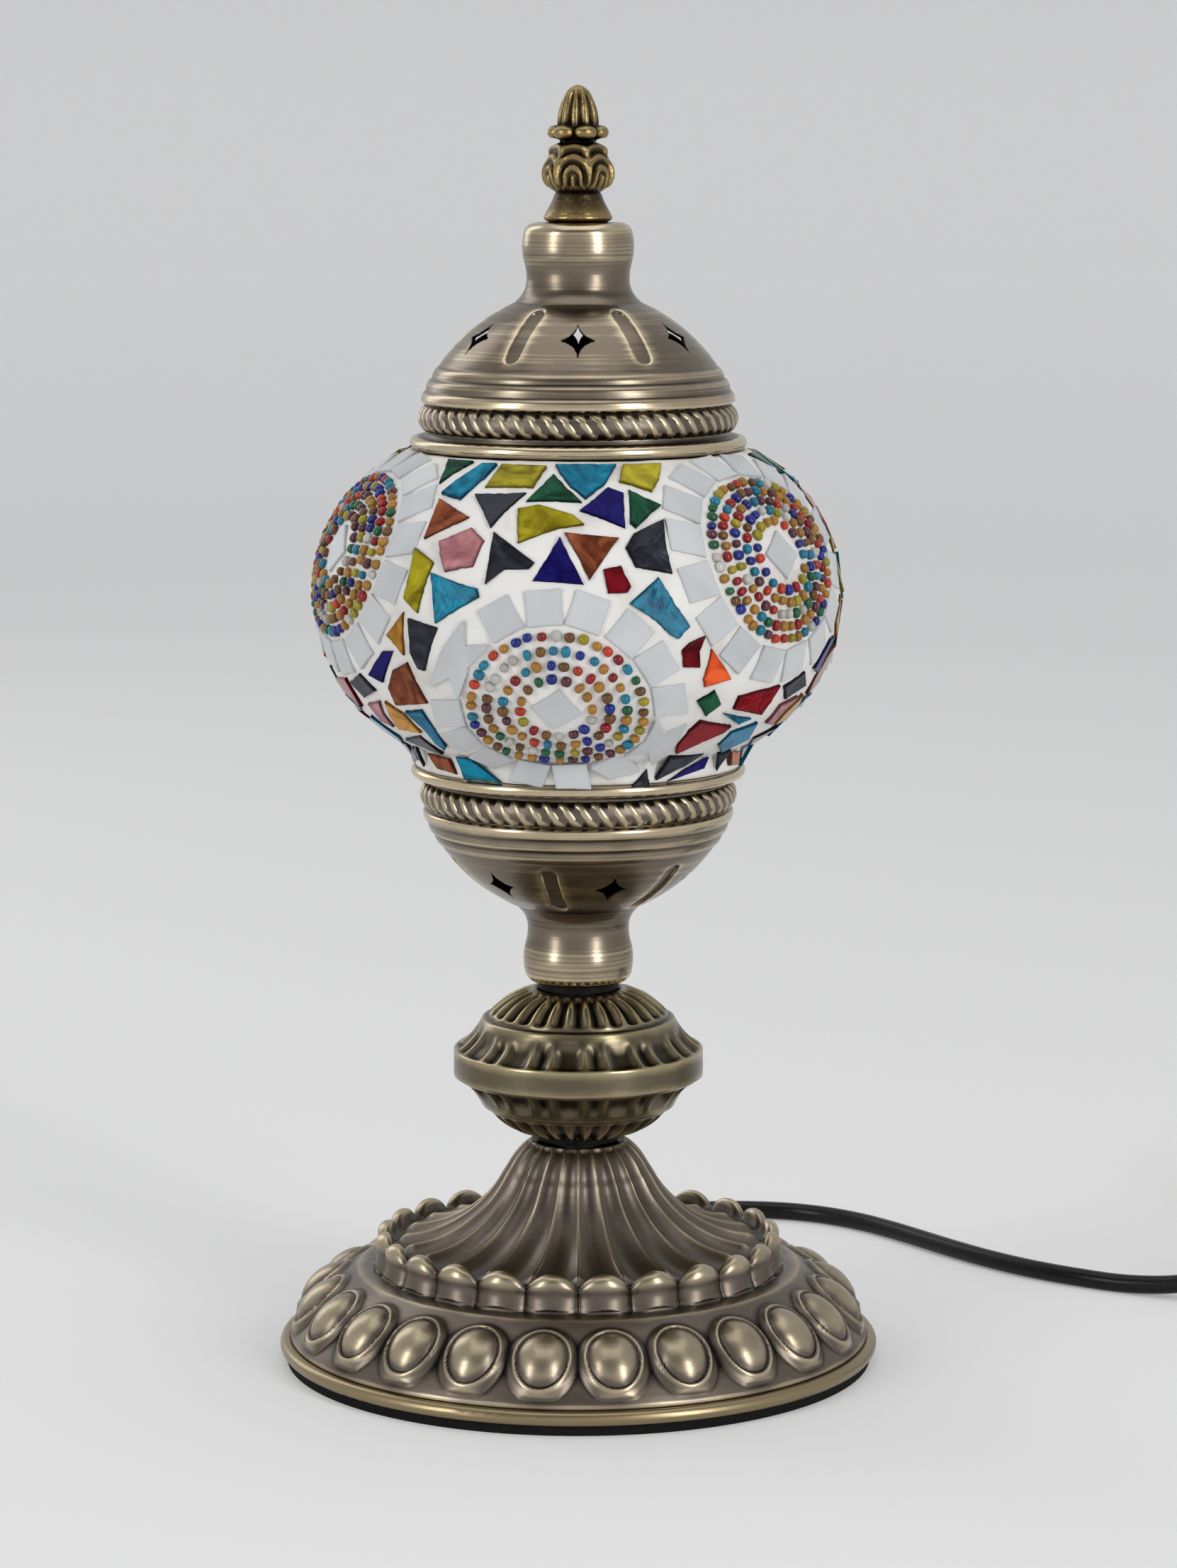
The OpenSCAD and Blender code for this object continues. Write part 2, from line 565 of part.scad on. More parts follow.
// In-line switch: two shells, a rocker on trunnions and two terminals
switch_w = 24;
switch_split_z = 8.5;
switch_top_z = 16.5;
rocker_z = 10.5;
rocker_r = 7.6;
rocker_w = 9;
trunnion_r = 1.2;
module switch_plan(inset) {
    hull() for (x = [-1, 1], y = [-1, 1])
        translate([x * (switch_l / 2 - 6), y * (switch_w / 2 - 6)]) circle(r = 6 - inset, $fn = 32);
}
module switch_shell(z0, z1, hollow0, hollow1)
    difference() {
        translate([0, 0, z0]) linear_extrude(z1 - z0) switch_plan(0);
        translate([0, 0, hollow0]) linear_extrude(hollow1 - hollow0) switch_plan(1.6);
        for (x = [-1, 1])
            translate([x * (switch_l / 2 - 2.5), 0, 6.5]) rotate([0, 90, 0])
                cylinder(r = cord_r + 0.05, h = 8, center = true);
    }
module switch_base() color("black") translate(switch_at)
    switch_shell(0, switch_split_z, 1.6, switch_split_z + 1);
module switch_cover() color("black") translate(switch_at)
    difference() {
        union() {
            switch_shell(switch_split_z, switch_top_z, switch_split_z - 1, switch_top_z - 1.8);
            for (y = [-1, 1])
                translate([-4, y * 6.2 - 1.2, switch_split_z + 0.2])
                    cube([8, 2.4, switch_top_z - switch_split_z - 1]);
        }
        cube([2 * rocker_r + 0.6, rocker_w + 0.6, 40], center = true);
        translate([0, 0, rocker_z]) rotate([90, 0, 0])
            cylinder(r = trunnion_r + 0.05, h = 18, center = true);
    }
rocker_rest = -8;                   // the rocker lies at its off side at rest
module switch_rocker() color("black") translate(switch_at + [0, 0, rocker_z]) rotate([0, rocker_rest, 0]) {
    difference() {
        rotate([90, 0, 0]) cylinder(r = rocker_r, h = rocker_w, center = true);
        translate([-10, -10, -20]) cube([20, 20, 16]);
        for (s = [-1, 1]) rotate([0, s * 8, 0])
            translate([s > 0 ? 0 : -20, -10, 6.6]) cube([20, 20, 10]);
    }
    rotate([90, 0, 0]) cylinder(r = trunnion_r, h = rocker_w + 4, center = true);
}
module switch_terminals() color("gold") translate(switch_at)
    for (x = [-1, 1]) translate([x * 16 - 3, -3, 1.6]) cube([6, 6, 3]);

pin_r = 2;
pin_l = 19;
pin_gap = 18.6;
plug_l = 34;
module plug_body() color("black") translate(plug_at) {
    difference() {
        translate([-plug_l + 10, 0, 0]) rotate([90, 0, 90]) linear_extrude(plug_l)
            hull() for (y = [-1, 1]) translate([y * 9, 0]) circle(r = 7, $fn = 32);
        for (y = [-1, 1]) translate([-plug_l + 9, y * pin_gap / 2, 0]) rotate([0, 90, 0])
            cylinder(r = pin_r + 0.42, h = 9);
    }
    translate([10, 0, 0]) rotate([0, 90, 0]) cylinder(r1 = 6, r2 = 3.4, h = 14);
}
module plug_pins() color("silver") translate(plug_at)
    for (y = [-1, 1]) translate([-plug_l + 10, y * pin_gap / 2, 0]) rotate([0, -90, 0]) {
        translate([0, 0, -8]) cylinder(r = pin_r + 0.4, h = 8);
        cylinder(r = pin_r, h = pin_l - 0.6);
        translate([0, 0, pin_l - 0.6]) cylinder(r1 = pin_r, r2 = pin_r - 0.6, h = 0.6);
    }

base_pad();
base_plate();
ballast();
base_shell();
stem_rod();
bottom_nut();
bottom_washer();
lower_neck();
knob_lower();
knob_upper();
upper_neck();
lower_cup();
lower_rope();
cup_washer();
cup_nut();
globe_seat();
globe_glass();
grout();
tiles_white();
tiles_green();
tiles_teal();
tiles_blue();
tiles_olive();
tiles_amber();
tiles_charcoal();
tiles_indigo();
tiles_dark_red();
tiles_orange();
tiles_brown();
tiles_pink();
bead_rings();
holder_base();
holder_body();
holder_core();
holder_shell();
holder_contact();
inner_wires();
cap_shell();
cap_rope();
cap_washer();
cap_nut();
finial_stud();
finial();
bulb_glass();
bulb_housing();
bulb_cap();
bulb_tip();
strain_relief();
cord_lead();
cord_link();
cord_coil();
cord_tail();
switch_base();
switch_cover();
switch_rocker();
switch_terminals();
plug_body();
plug_pins();
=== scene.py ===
import math
import random

import bpy
import numpy as np
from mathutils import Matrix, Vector


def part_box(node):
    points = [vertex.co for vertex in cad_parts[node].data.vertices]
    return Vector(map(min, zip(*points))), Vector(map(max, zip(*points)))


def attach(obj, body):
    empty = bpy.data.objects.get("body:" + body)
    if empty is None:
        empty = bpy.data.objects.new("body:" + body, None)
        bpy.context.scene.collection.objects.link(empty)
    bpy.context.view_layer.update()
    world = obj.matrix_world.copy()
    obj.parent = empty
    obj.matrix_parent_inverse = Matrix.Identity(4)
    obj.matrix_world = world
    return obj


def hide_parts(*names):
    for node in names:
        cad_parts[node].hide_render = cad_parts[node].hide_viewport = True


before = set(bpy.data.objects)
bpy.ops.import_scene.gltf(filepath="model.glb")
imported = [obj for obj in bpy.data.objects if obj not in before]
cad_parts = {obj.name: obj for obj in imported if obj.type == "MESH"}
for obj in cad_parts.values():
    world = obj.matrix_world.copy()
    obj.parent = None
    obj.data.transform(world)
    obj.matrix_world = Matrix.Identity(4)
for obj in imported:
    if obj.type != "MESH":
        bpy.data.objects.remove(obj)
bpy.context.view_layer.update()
MM = 0.001
scene = bpy.context.scene


def new_object(name, data):
    made = bpy.data.objects.new(name, data)
    scene.collection.objects.link(made)
    return made


def mesh_object(name, verts, faces, smooth=True):
    """An object from vertices in millimetres."""
    data = bpy.data.meshes.new(name)
    data.from_pydata((np.asarray(verts, float) * MM).tolist(), [], faces)
    data.update()
    if smooth:
        data.shade_smooth()
    return new_object(name, data)


def grid_faces(rows, turns, start=0, flip=False):
    """Faces between rows of points, each row a closed ring."""
    faces = []
    for i in range(rows - 1):
        a, b = start + i * turns, start + (i + 1) * turns
        for k in range(turns):
            n = (k + 1) % turns
            faces.append((a + k, b + k, b + n, a + n) if flip else (a + k, a + n, b + n, b + k))
    return faces


def ease(x):
    """A smooth step from 0 to 1."""
    x = np.clip(x, 0, 1)
    return x * x * (3 - 2 * x)


# ---------------- camera

CAMERA_AT = (0.0026, -1.15, 0.3197)
# degrees up from straight down, then millimetres
CAMERA_TILT, SENSOR_HEIGHT, LENS = 81.54, 36, 105.14

camera_data = bpy.data.cameras.new("camera")
camera_data.sensor_fit = "VERTICAL"
camera_data.sensor_height = SENSOR_HEIGHT
camera_data.lens = LENS
camera = new_object("camera", camera_data)
camera.location = CAMERA_AT
camera.rotation_euler = (math.radians(CAMERA_TILT), 0, 0)
scene.camera = camera

# ---------------- node helpers


def set_inputs(node, values):
    for key, value in values.items():
        node.inputs[key].default_value = value


def nodes_of(name, values):
    """A new material, its nodes, its links and its shader with these values set."""
    material = bpy.data.materials.new(name)
    material.use_nodes = True
    tree = material.node_tree
    shader = tree.nodes["Principled BSDF"]
    set_inputs(shader, values)
    return material, tree.nodes, tree.links, shader


def ramp(nodes, stops):
    """A colour ramp from pairs of place and colour."""
    made = nodes.new("ShaderNodeValToRGB")
    elements = made.color_ramp.elements
    while len(elements) < len(stops):
        elements.new(0.5)
    for element, (at, colour) in zip(elements, stops):
        element.position = at
        element.color = (*colour, 1)
    return made


def noise(nodes, links, scale, detail, stretch=(1, 1, 1)):
    """A noise texture in object space, finer along the axes with a larger stretch."""
    place = nodes.new("ShaderNodeTexCoord")
    mapping = nodes.new("ShaderNodeMapping")
    set_inputs(mapping, {"Scale": stretch})
    made = nodes.new("ShaderNodeTexNoise")
    set_inputs(made, {"Scale": scale, "Detail": detail})
    links.new(place.outputs["Object"], mapping.inputs["Vector"])
    links.new(mapping.outputs["Vector"], made.inputs["Vector"])
    return made


def attribute(nodes, name):
    made = nodes.new("ShaderNodeAttribute")
    made.attribute_name = name
    return made


def mix_value(nodes, links, kind, a, b):
    """A maths node of two inputs, each a socket or a number."""
    made = nodes.new("ShaderNodeMath")
    made.operation = kind
    for k, source in enumerate((a, b)):
        if isinstance(source, (int, float)):
            made.inputs[k].default_value = source
        else:
            links.new(source, made.inputs[k])
    return made.outputs["Value"]


def mix_colour(nodes, links, share, a, b):
    """A mix of two colours; all three inputs are sockets or values."""
    made = nodes.new("ShaderNodeMix")
    made.data_type = "RGBA"
    for key, source in (("Factor", share), ("A", a), ("B", b)):
        socket = [s for s in made.inputs if s.name == key and s.enabled][-1]
        if isinstance(source, (int, float)):
            socket.default_value = source
        elif isinstance(source, tuple):
            socket.default_value = (*source, 1)
        else:
            links.new(source, socket)
    return [s for s in made.outputs if s.enabled][-1]


def ranged(nodes, links, value, start, end, soft=False):
    """A socket's value carried from the range start to the range end."""
    made = nodes.new("ShaderNodeMapRange")
    if soft:
        made.interpolation_type = "SMOOTHSTEP"
    set_inputs(made, dict(zip(("From Min", "From Max", "To Min", "To Max"), (*start, *end))))
    links.new(value, made.inputs["Value"])
    return made.outputs["Result"]


def bump(nodes, links, height, strength, distance, shader):
    made = nodes.new("ShaderNodeBump")
    set_inputs(made, {"Strength": strength, "Distance": distance})
    links.new(height, made.inputs["Height"])
    links.new(made.outputs["Normal"], shader.inputs["Normal"])


def metal(name, dark, mid, bright, rough=(0.26, 0.42), wear_and_painted_light=True, turned=0.0, pits=0.0,
          brushed=0.0):
    """Aged metal: patina and painted shade darken the hollows, wear and painted highlights
    brighten raised edges, faint turning lines and pits.
    """
    material, nodes, links, shader = nodes_of(name, {"Metallic": 1, "Anisotropic": brushed})
    cloud = noise(nodes, links, 90, 4)
    lines = noise(nodes, links, 40, 2, (0.35, 0.35, 42))
    # the colour level from the shape: wear and patina, with painted highlights and painted shade
    level = attribute(nodes, "wear_and_painted_light").outputs["Fac"] if wear_and_painted_light else 0.5
    stain = mix_value(nodes, links, "SUBTRACT", cloud.outputs["Fac"], 0.5)
    level = mix_value(nodes, links, "ADD", mix_value(nodes, links, "MULTIPLY", stain, 0.3), level)
    if turned:
        streak = mix_value(nodes, links, "SUBTRACT", lines.outputs["Fac"], 0.5)
        level = mix_value(nodes, links, "ADD", level,
                          mix_value(nodes, links, "MULTIPLY", streak, turned))
    colours = ramp(nodes, [(0.1, dark), (0.43, mid), (0.6, mid), (0.95, bright)])
    links.new(level, colours.inputs["Fac"])
    links.new(colours.outputs["Color"], shader.inputs["Base Color"])
    links.new(ranged(nodes, links, level, (0, 1), rough[::-1]), shader.inputs["Roughness"])
    if brushed:
        around = nodes.new("ShaderNodeTangent")
        around.direction_type = "RADIAL"
        around.axis = "Z"
        links.new(around.outputs["Tangent"], shader.inputs["Tangent"])
    if pits:
        grain = noise(nodes, links, 900, 3)
        bump(nodes, links, grain.outputs["Fac"], pits, 0.0004, shader)
    else:
        bump(nodes, links, lines.outputs["Fac"] if turned else cloud.outputs["Fac"], 0.12,
             0.0002, shader)
    return material


def plain(name, colour, roughness, metallic=0.0, grain=600, strength=0.1, spread=0.12,
          coat=0.0, shine=0.5):
    """A moulded, painted or plain metal surface with slight mottling and grain."""
    material, nodes, links, shader = nodes_of(name, {
        "Roughness": roughness, "Metallic": metallic, "Coat Weight": coat,
        "Specular IOR Level": shine})
    cloud = noise(nodes, links, grain, 3)
    pale = tuple(min(1, c * (1 + spread) + 0.004) for c in colour)
    deep = tuple(c * (1 - spread) for c in colour)
    colours = ramp(nodes, [(0.3, deep), (0.7, pale)])
    links.new(cloud.outputs["Fac"], colours.inputs["Fac"])
    links.new(colours.outputs["Color"], shader.inputs["Base Color"])
    bump(nodes, links, cloud.outputs["Fac"], strength, 0.0003, shader)
    return material


def tile_glass(name, deep, pale, streak, rough):
    """Coloured glass over plaster: streaks of two tones, painted shade on the rim where it sinks
    into the plaster, a soft gloss.
    """
    material, nodes, links, shader = nodes_of(name, {
        "Roughness": rough, "Specular IOR Level": 0.06})
    swirl = noise(nodes, links, *streak)
    set_inputs(swirl, {"Distortion": 1.2})
    tint = attribute(nodes, "tint").outputs["Fac"]
    level = mix_value(nodes, links, "ADD", swirl.outputs["Fac"], mix_value(
        nodes, links, "MULTIPLY", tint, 0.34))
    colours = ramp(nodes, [(0.42, deep), (0.82, pale)])
    links.new(level, colours.inputs["Fac"])
    # painted shade: the rim is mixed towards a deep tone of the glass where the tile sinks into
    # the plaster
    rim = attribute(nodes, "rim").outputs["Fac"]
    edge = tuple(c * 0.35 for c in deep)
    links.new(mix_colour(nodes, links, rim, colours.outputs["Color"], edge),
              shader.inputs["Base Color"])
    bump(nodes, links, swirl.outputs["Fac"], 0.22, 0.0008, shader)
    return material


BRASS = metal("aged_brass", (0.010, 0.009, 0.008), (0.150, 0.124, 0.100), (0.50, 0.42, 0.285),
              rough=(0.29, 0.42))
TURNED = metal("turned_brass", (0.014, 0.012, 0.009), (0.186, 0.153, 0.115),
               (0.60, 0.50, 0.34), rough=(0.19, 0.30), turned=0.55, brushed=0.55)
CHASED = metal("chased_brass", (0.006, 0.005, 0.003), (0.138, 0.116, 0.076),
               (0.44, 0.37, 0.22), rough=(0.24, 0.36))
RIM_PLAIN = metal("rim_metal", (0.05, 0.04, 0.02), (0.30, 0.235, 0.135), (0.62, 0.50, 0.31),
                  rough=(0.24, 0.34), wear_and_painted_light=False, turned=0.35, brushed=0.4)
CAST = metal("cast_brass", (0.006, 0.004, 0.003), (0.060, 0.043, 0.022), (0.29, 0.21, 0.092),
             rough=(0.28, 0.46), pits=0.5)
ZINC = metal("zinc", (0.2, 0.2, 0.2), (0.5, 0.5, 0.51), (0.8, 0.8, 0.8), wear_and_painted_light=False)
CONTACT = metal("contact", (0.2, 0.14, 0.05), (0.65, 0.48, 0.2), (0.8, 0.7, 0.4), wear_and_painted_light=False)
NICKEL = metal("nickel", (0.4, 0.4, 0.4), (0.62, 0.62, 0.6), (0.8, 0.8, 0.8), (0.12, 0.2), False)
FOAM = plain("foam", (0.006, 0.006, 0.006), 0.9, grain=1500, strength=0.6, shine=0.1)
# painted shade: the necks are near black with little gloss, so that they read as the shaded gaps
# between cone, knob and cup
SHADED_SPACER = plain("spacer_painted_shade", (0.004, 0.004, 0.003), 0.5, shine=0.1)
IRON = plain("iron", (0.06, 0.06, 0.062), 0.75, 0.6, grain=400, strength=0.6)
PLASTIC = plain("black_plastic", (0.014, 0.014, 0.015), 0.38, grain=1800, strength=0.12)
CORD = plain("cord_pvc", (0.003, 0.003, 0.003), 0.28, grain=500, strength=0.05, shine=0.22)
IVORY = plain("ivory_plastic", (0.80, 0.77, 0.70), 0.4)
CERAMIC = plain("white_ceramic", (0.86, 0.86, 0.83), 0.16, coat=0.5)
OPAL = plain("opal_glass", (0.90, 0.90, 0.87), 0.18, spread=0.02, coat=0.6)
SILICONE = plain("silicone", (0.72, 0.72, 0.70), 0.45)
SLEEVE = plain("wire_sleeve", (0.16, 0.06, 0.025), 0.4)


def glass_material():
    """Clear glass with a faint waviness."""
    material, nodes, links, shader = nodes_of("clear_glass", {
        "Base Color": (0.93, 0.96, 0.96, 1), "Roughness": 0.04, "Transmission Weight": 0.9})
    waves = noise(nodes, links, 60, 2)
    bump(nodes, links, waves.outputs["Fac"], 0.1, 0.0005, shader)
    return material


def grout_material():
    """White plaster with greyer stains and a fine grain."""
    material, nodes, links, shader = nodes_of("plaster", {"Roughness": 0.62})
    cloud = noise(nodes, links, 70, 5)
    grain = noise(nodes, links, 1400, 4)
    colours = ramp(nodes, [(0.28, (0.56, 0.52, 0.48)), (0.42, (0.67, 0.65, 0.625)),
                           (0.75, (0.70, 0.69, 0.67))])
    links.new(cloud.outputs["Fac"], colours.inputs["Fac"])
    links.new(colours.outputs["Color"], shader.inputs["Base Color"])
    bump(nodes, links, grain.outputs["Fac"], 0.35, 0.0004, shader)
    return material


def bead_material():
    """Glass in the colour that each bead carries, with faint pale specks."""
    material, nodes, links, shader = nodes_of("bead_glass", {
        "Roughness": 0.07, "Specular IOR Level": 0.35})
    colour = attribute(nodes, "bead")
    speck = noise(nodes, links, 500, 2)
    pale = mix_colour(nodes, links, mix_value(nodes, links, "MULTIPLY",
                      speck.outputs["Fac"], 0.015), colour.outputs["Color"], (0.9, 0.9, 0.88))
    links.new(pale, shader.inputs["Base Color"])
    return material


GLASS = glass_material()
GROUT = grout_material()
BEAD = bead_material()


def dress(piece, material):
    """Gives a piece one material in place of any others."""
    piece.data.materials.clear()
    piece.data.materials.append(material)


def finish_piece(piece, body, slot, material, *replaced):
    """Gives a piece its material and body and hides the CAD nodes that it stands for. The slot is
    not used.
    """
    dress(piece, material)
    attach(piece, body)
    if replaced:
        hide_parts(*replaced)
    return piece


# ---------------- floor and light

# radius and height in metres, from the floor to the rim
BOWL = [(1.2, 0.0), (2.4, 0.0), (3.2, 0.02), (3.9, 0.14), (4.5, 0.42), (4.9, 0.9), (5.1, 1.6),
        (5.2, 2.6), (5.2, 3.6)]
BOWL_TURNS = 64
FLOOR_COLOUR = (0.55, 0.548, 0.545)
# emission at the lamp and far from it, and how far in metres
GLOW, GLOW_REACH = (0.21, 0.32), (0.3, 4.6)
# strength in front of the lamp and behind it
SKY = (0.13, 0.60)
# name, place, width and height in metres, watts
SOFTBOXES = (
    ("left_box", (-1.25, -0.95, 0.55), (0.32, 1.3), 8.5),
    ("right_box", (1.0, -1.15, 0.60), (0.30, 1.3), 11.5),
    ("back_left", (-0.95, 0.95, 0.8), (0.5, 1.2), 3.0),
    ("top_box", (0.0, 0.0, 1.6), (1.4, 1.4), 5.0),
)
AIM = Vector((0, 0, 0.16))


def pale_bowl():
    """A pale bowl round the lamp, flat underneath and rising far away."""
    verts, faces = [(0, 0, 0)], []
    for r, z in BOWL:
        for k in range(BOWL_TURNS):
            a = 2 * math.pi * k / BOWL_TURNS
            verts.append((r * math.cos(a) / MM, r * math.sin(a) / MM, z / MM))
    for k in range(BOWL_TURNS):
        faces.append((0, 1 + k, 1 + (k + 1) % BOWL_TURNS))
    faces += grid_faces(len(BOWL), BOWL_TURNS, 1, flip=True)
    floor = mesh_object("floor", verts, faces)
    material, nodes, links, shader = nodes_of("pale_floor", {
        "Base Color": (*FLOOR_COLOUR, 1), "Roughness": 0.8, "Specular IOR Level": 0.15,
        "Emission Color": (0.98, 0.985, 1.0, 1)})
    far = nodes.new("ShaderNodeVectorMath")
    far.operation = "LENGTH"
    links.new(nodes.new("ShaderNodeTexCoord").outputs["Object"], far.inputs[0])
    glow = ranged(nodes, links, far.outputs["Value"], GLOW_REACH, GLOW, soft=True)
    links.new(glow, shader.inputs["Emission Strength"])
    floor.data.materials.append(material)
    return floor


def pale_sky():
    """A world that is brighter behind the lamp than in front."""
    world = bpy.data.worlds.new("studio")
    scene.world = world
    world.use_nodes = True
    nodes, links = world.node_tree.nodes, world.node_tree.links
    sky = nodes["Background"]
    set_inputs(sky, {"Color": (0.97, 0.98, 1.0, 1)})
    split = nodes.new("ShaderNodeSeparateXYZ")
    links.new(nodes.new("ShaderNodeTexCoord").outputs["Generated"], split.inputs[0])
    shade = ranged(nodes, links, split.outputs["Y"], (-0.95, 0.1), SKY, soft=True)
    links.new(shade, sky.inputs["Strength"])


def softbox(name, place, size, power):
    """A rectangular light aimed at the middle of the lamp."""
    lamp = bpy.data.lights.new(name, "AREA")
    lamp.shape = "RECTANGLE"
    lamp.size, lamp.size_y = size
    lamp.energy = power
    light = new_object(name, lamp)
    light.location = place
    light.rotation_euler = (AIM - light.location).to_track_quat("-Z", "Y").to_euler()


pale_bowl()
pale_sky()
for box in SOFTBOXES:
    softbox(*box)
scene.view_settings.view_transform = "Standard"

# ---------------- cord

CORD_D = 0.005  # metres; the points below are in millimetres
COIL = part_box("cord_coil")
COIL_AT = ((COIL[0].x + COIL[1].x) / 2 / MM, (COIL[0].y + COIL[1].y) / 2 / MM)
LEAD = [(0, 97, 12), (0, 103, 11.5), (1.5, 112, 8.5), (5, 121, 5), (10.5, 129, 3),
        (18, 136, 2.5), (27, 141, 2.5), (37, 144, 2.5), (48, 144.5, 2.5), (60, 142.5, 2.5),
        (71, 137.5, 2.5), (81, 129.5, 2.5), (90, 119, 2.5), (98, 108, 2.5), (106, 97, 2.5),
        (115, 86, 2.5), (125, 76, 2.5), (136, 67.5, 2.5), (148, 60.5, 2.5), (160, 55.5, 3.5),
        (169, 53.2, 5.5), (177, 52.5, 6.5)]
LINK = [(237, 52.5, 6.5), (245, 52.5, 5.8), (253, 52.5, 4.2), (261, 52.5, 2.9), (266, 52.5, 2.7)]
TAIL = [(288.5, 132.1, 7.7), (284.4, 134.2, 7.7), (280.7, 136.9, 7.6), (277.7, 140.3, 7.5),
        (275.3, 144.3, 7.4), (272.5, 148.9, 7.3), (268.7, 152.7, 7.2), (264.1, 155.6, 7.1),
        (259, 157.4, 7), (254, 158, 7), (250, 158, 7)]
TURNS, OUTER_R, INNER_R = 7.47, 39.5, 20.75
# heights of the two layers, and the share of a turn that the climb takes
LOW_Z, HIGH_Z, CLIMB = 2.7, 7.7, 0.3


def coil_points():
    """The wound turns: a flat spiral inwards on the table, and a second one outwards on it."""
    steps = 40
    points = []
    for k in range(1, int(TURNS * steps)):
        turn = k / steps
        half = TURNS / 2
        share = turn / half if turn < half else 2 - turn / half
        r = OUTER_R + (INNER_R - OUTER_R) * share
        z = LOW_Z + (HIGH_Z - LOW_Z) * ease((turn - half) / CLIMB + 0.5)
        a = math.radians(-90 + 360 * turn)
        points.append((COIL_AT[0] + r * math.cos(a), COIL_AT[1] + r * math.sin(a), z))
    return points


def smooth_path(points, steps=6):
    """The points with a Catmull-Rom curve through them."""
    p = [np.array(q, float) for q in points]
    p = [2 * p[0] - p[1], *p, 2 * p[-1] - p[-2]]
    line = []
    for a, b, c, d in zip(p, p[1:], p[2:], p[3:]):
        for k in range(steps):
            t = k / steps
            line.append(0.5 * (2 * b + (c - a) * t + (2 * a - 5 * b + 4 * c - d) * t * t
                               + (3 * b - a - 3 * c + d) * t ** 3))
    return [*line, p[-2]]


def cord_curve(name, points):
    """A round cord through points in millimetres."""
    data = bpy.data.curves.new(name, "CURVE")
    data.dimensions = "3D"
    data.bevel_depth = CORD_D / 2
    data.bevel_resolution = 4
    data.use_fill_caps = True
    spline = data.splines.new("POLY")
    spline.points.add(len(points) - 1)
    for point, at in zip(spline.points, points):
        point.co = (*(float(c) * MM for c in at), 1)
    spline.use_smooth = True
    return new_object(name, data)


lead_line = smooth_path(LEAD)
lead = finish_piece(cord_curve("cord_to_switch", lead_line), "lamp", "cord_black", CORD,
                    "cord_lead")
wound_line = [*smooth_path(LINK), *coil_points(), *smooth_path(TAIL)]
wound = finish_piece(cord_curve("cord_to_plug", wound_line), "lamp", "cord_black", CORD,
                     "cord_link", "cord_coil", "cord_tail")

TIE_AT = 205  # degrees round the coil


def coil_tie():
    """A thin band round the coil's turns, in a plane through the coil's axis."""
    low_r, high_r, low_z, high_z, thick, wide = 18.1, 42.1, 0.2, 10.2, 0.18, 4.0
    corner = 2.4
    near, far, down, up = low_r + corner, high_r - corner, low_z + corner, high_z - corner
    path = []
    for cx, cz, start in ((far, down, -90), (far, up, 0), (near, up, 90), (near, down, 180)):
        for k in range(7):
            a = math.radians(start + 15 * k)
            path.append((cx + corner * math.cos(a), cz + corner * math.sin(a),
                         math.cos(a), math.sin(a)))
    turn = math.radians(TIE_AT)
    ring, verts, faces = len(path), [], []
    for r, z, nr, nz in path:
        for out, side in ((0, -1), (0, 1), (1, 1), (1, -1)):
            x, y = r + nr * thick * out, side * wide / 2
            verts.append((COIL_AT[0] + x * math.cos(turn) - y * math.sin(turn),
                          COIL_AT[1] + x * math.sin(turn) + y * math.cos(turn),
                          z + nz * thick * out))
    for k in range(ring):
        a, b = 4 * k, 4 * ((k + 1) % ring)
        for q in range(4):
            faces.append((a + q, a + (q + 1) % 4, b + (q + 1) % 4, b + q))
    return mesh_object("coil_tie", verts, faces, smooth=False)


tie = finish_piece(coil_tie(), "lamp", "black_plastic", PLASTIC)

# ---------------- turned and pressed metal


def arc(p, q, sag, n):
    """Points on a circular arc from p to q that bows by sag to the right of p->q."""
    p, q = np.array(p, float), np.array(q, float)
    along = q - p
    long, high = float(np.hypot(*along)), abs(sag)
    radius = (long * long / 4 + high * high) / (2 * high)
    way = 1 if sag > 0 else -1
    middle = (p + q) / 2 + np.array([along[1], -along[0]]) / long * way * (high - radius)
    start = math.atan2(p[1] - middle[1], p[0] - middle[0])
    sweep = 2 * math.asin(long / 2 / radius) * way
    return [(middle[0] + radius * math.cos(start + sweep * i / n),
             middle[1] + radius * math.sin(start + sweep * i / n)) for i in range(n + 1)]


def resample(path, step):
    """Points about a step apart along an outline, and how far along each one is."""
    path = np.array(path, float)
    at = np.concatenate([[0], np.cumsum(np.hypot(*np.diff(path, axis=0).T))])
    s = np.linspace(0, at[-1], max(2, int(at[-1] / step) + 1))
    return np.column_stack([np.interp(s, at, path[:, 0]), np.interp(s, at, path[:, 1])]), s


def normals_of(line):
    """Outward normals in the plane of the outline, for one that climbs on its outside."""
    t = np.gradient(line, axis=0)
    t /= np.maximum(1e-9, np.hypot(t[:, 0], t[:, 1]))[:, None]
    return np.column_stack([t[:, 1], -t[:, 0]])


def hump(x, middle, width):
    """1 at the middle, falling to 0 on both sides."""
    return np.exp(-((x - middle) / width) ** 2)


def oval(x, y, half_x, half_y):
    """1 on an oval's edge and less within it."""
    return np.sqrt((x / half_x) ** 2 + (y / half_y) ** 2)


def spin(radius, height, az):
    """Points from radii, heights and azimuths: 0 degrees faces the front, + to the right."""
    a = np.radians(az)
    return np.stack(np.broadcast_arrays(radius * np.sin(a), -radius * np.cos(a), height), axis=-1)


# millimetres, for sharp edges and for broad hollows
EDGE_BLUR, HOLLOW_BLUR = 0.45, 1.7


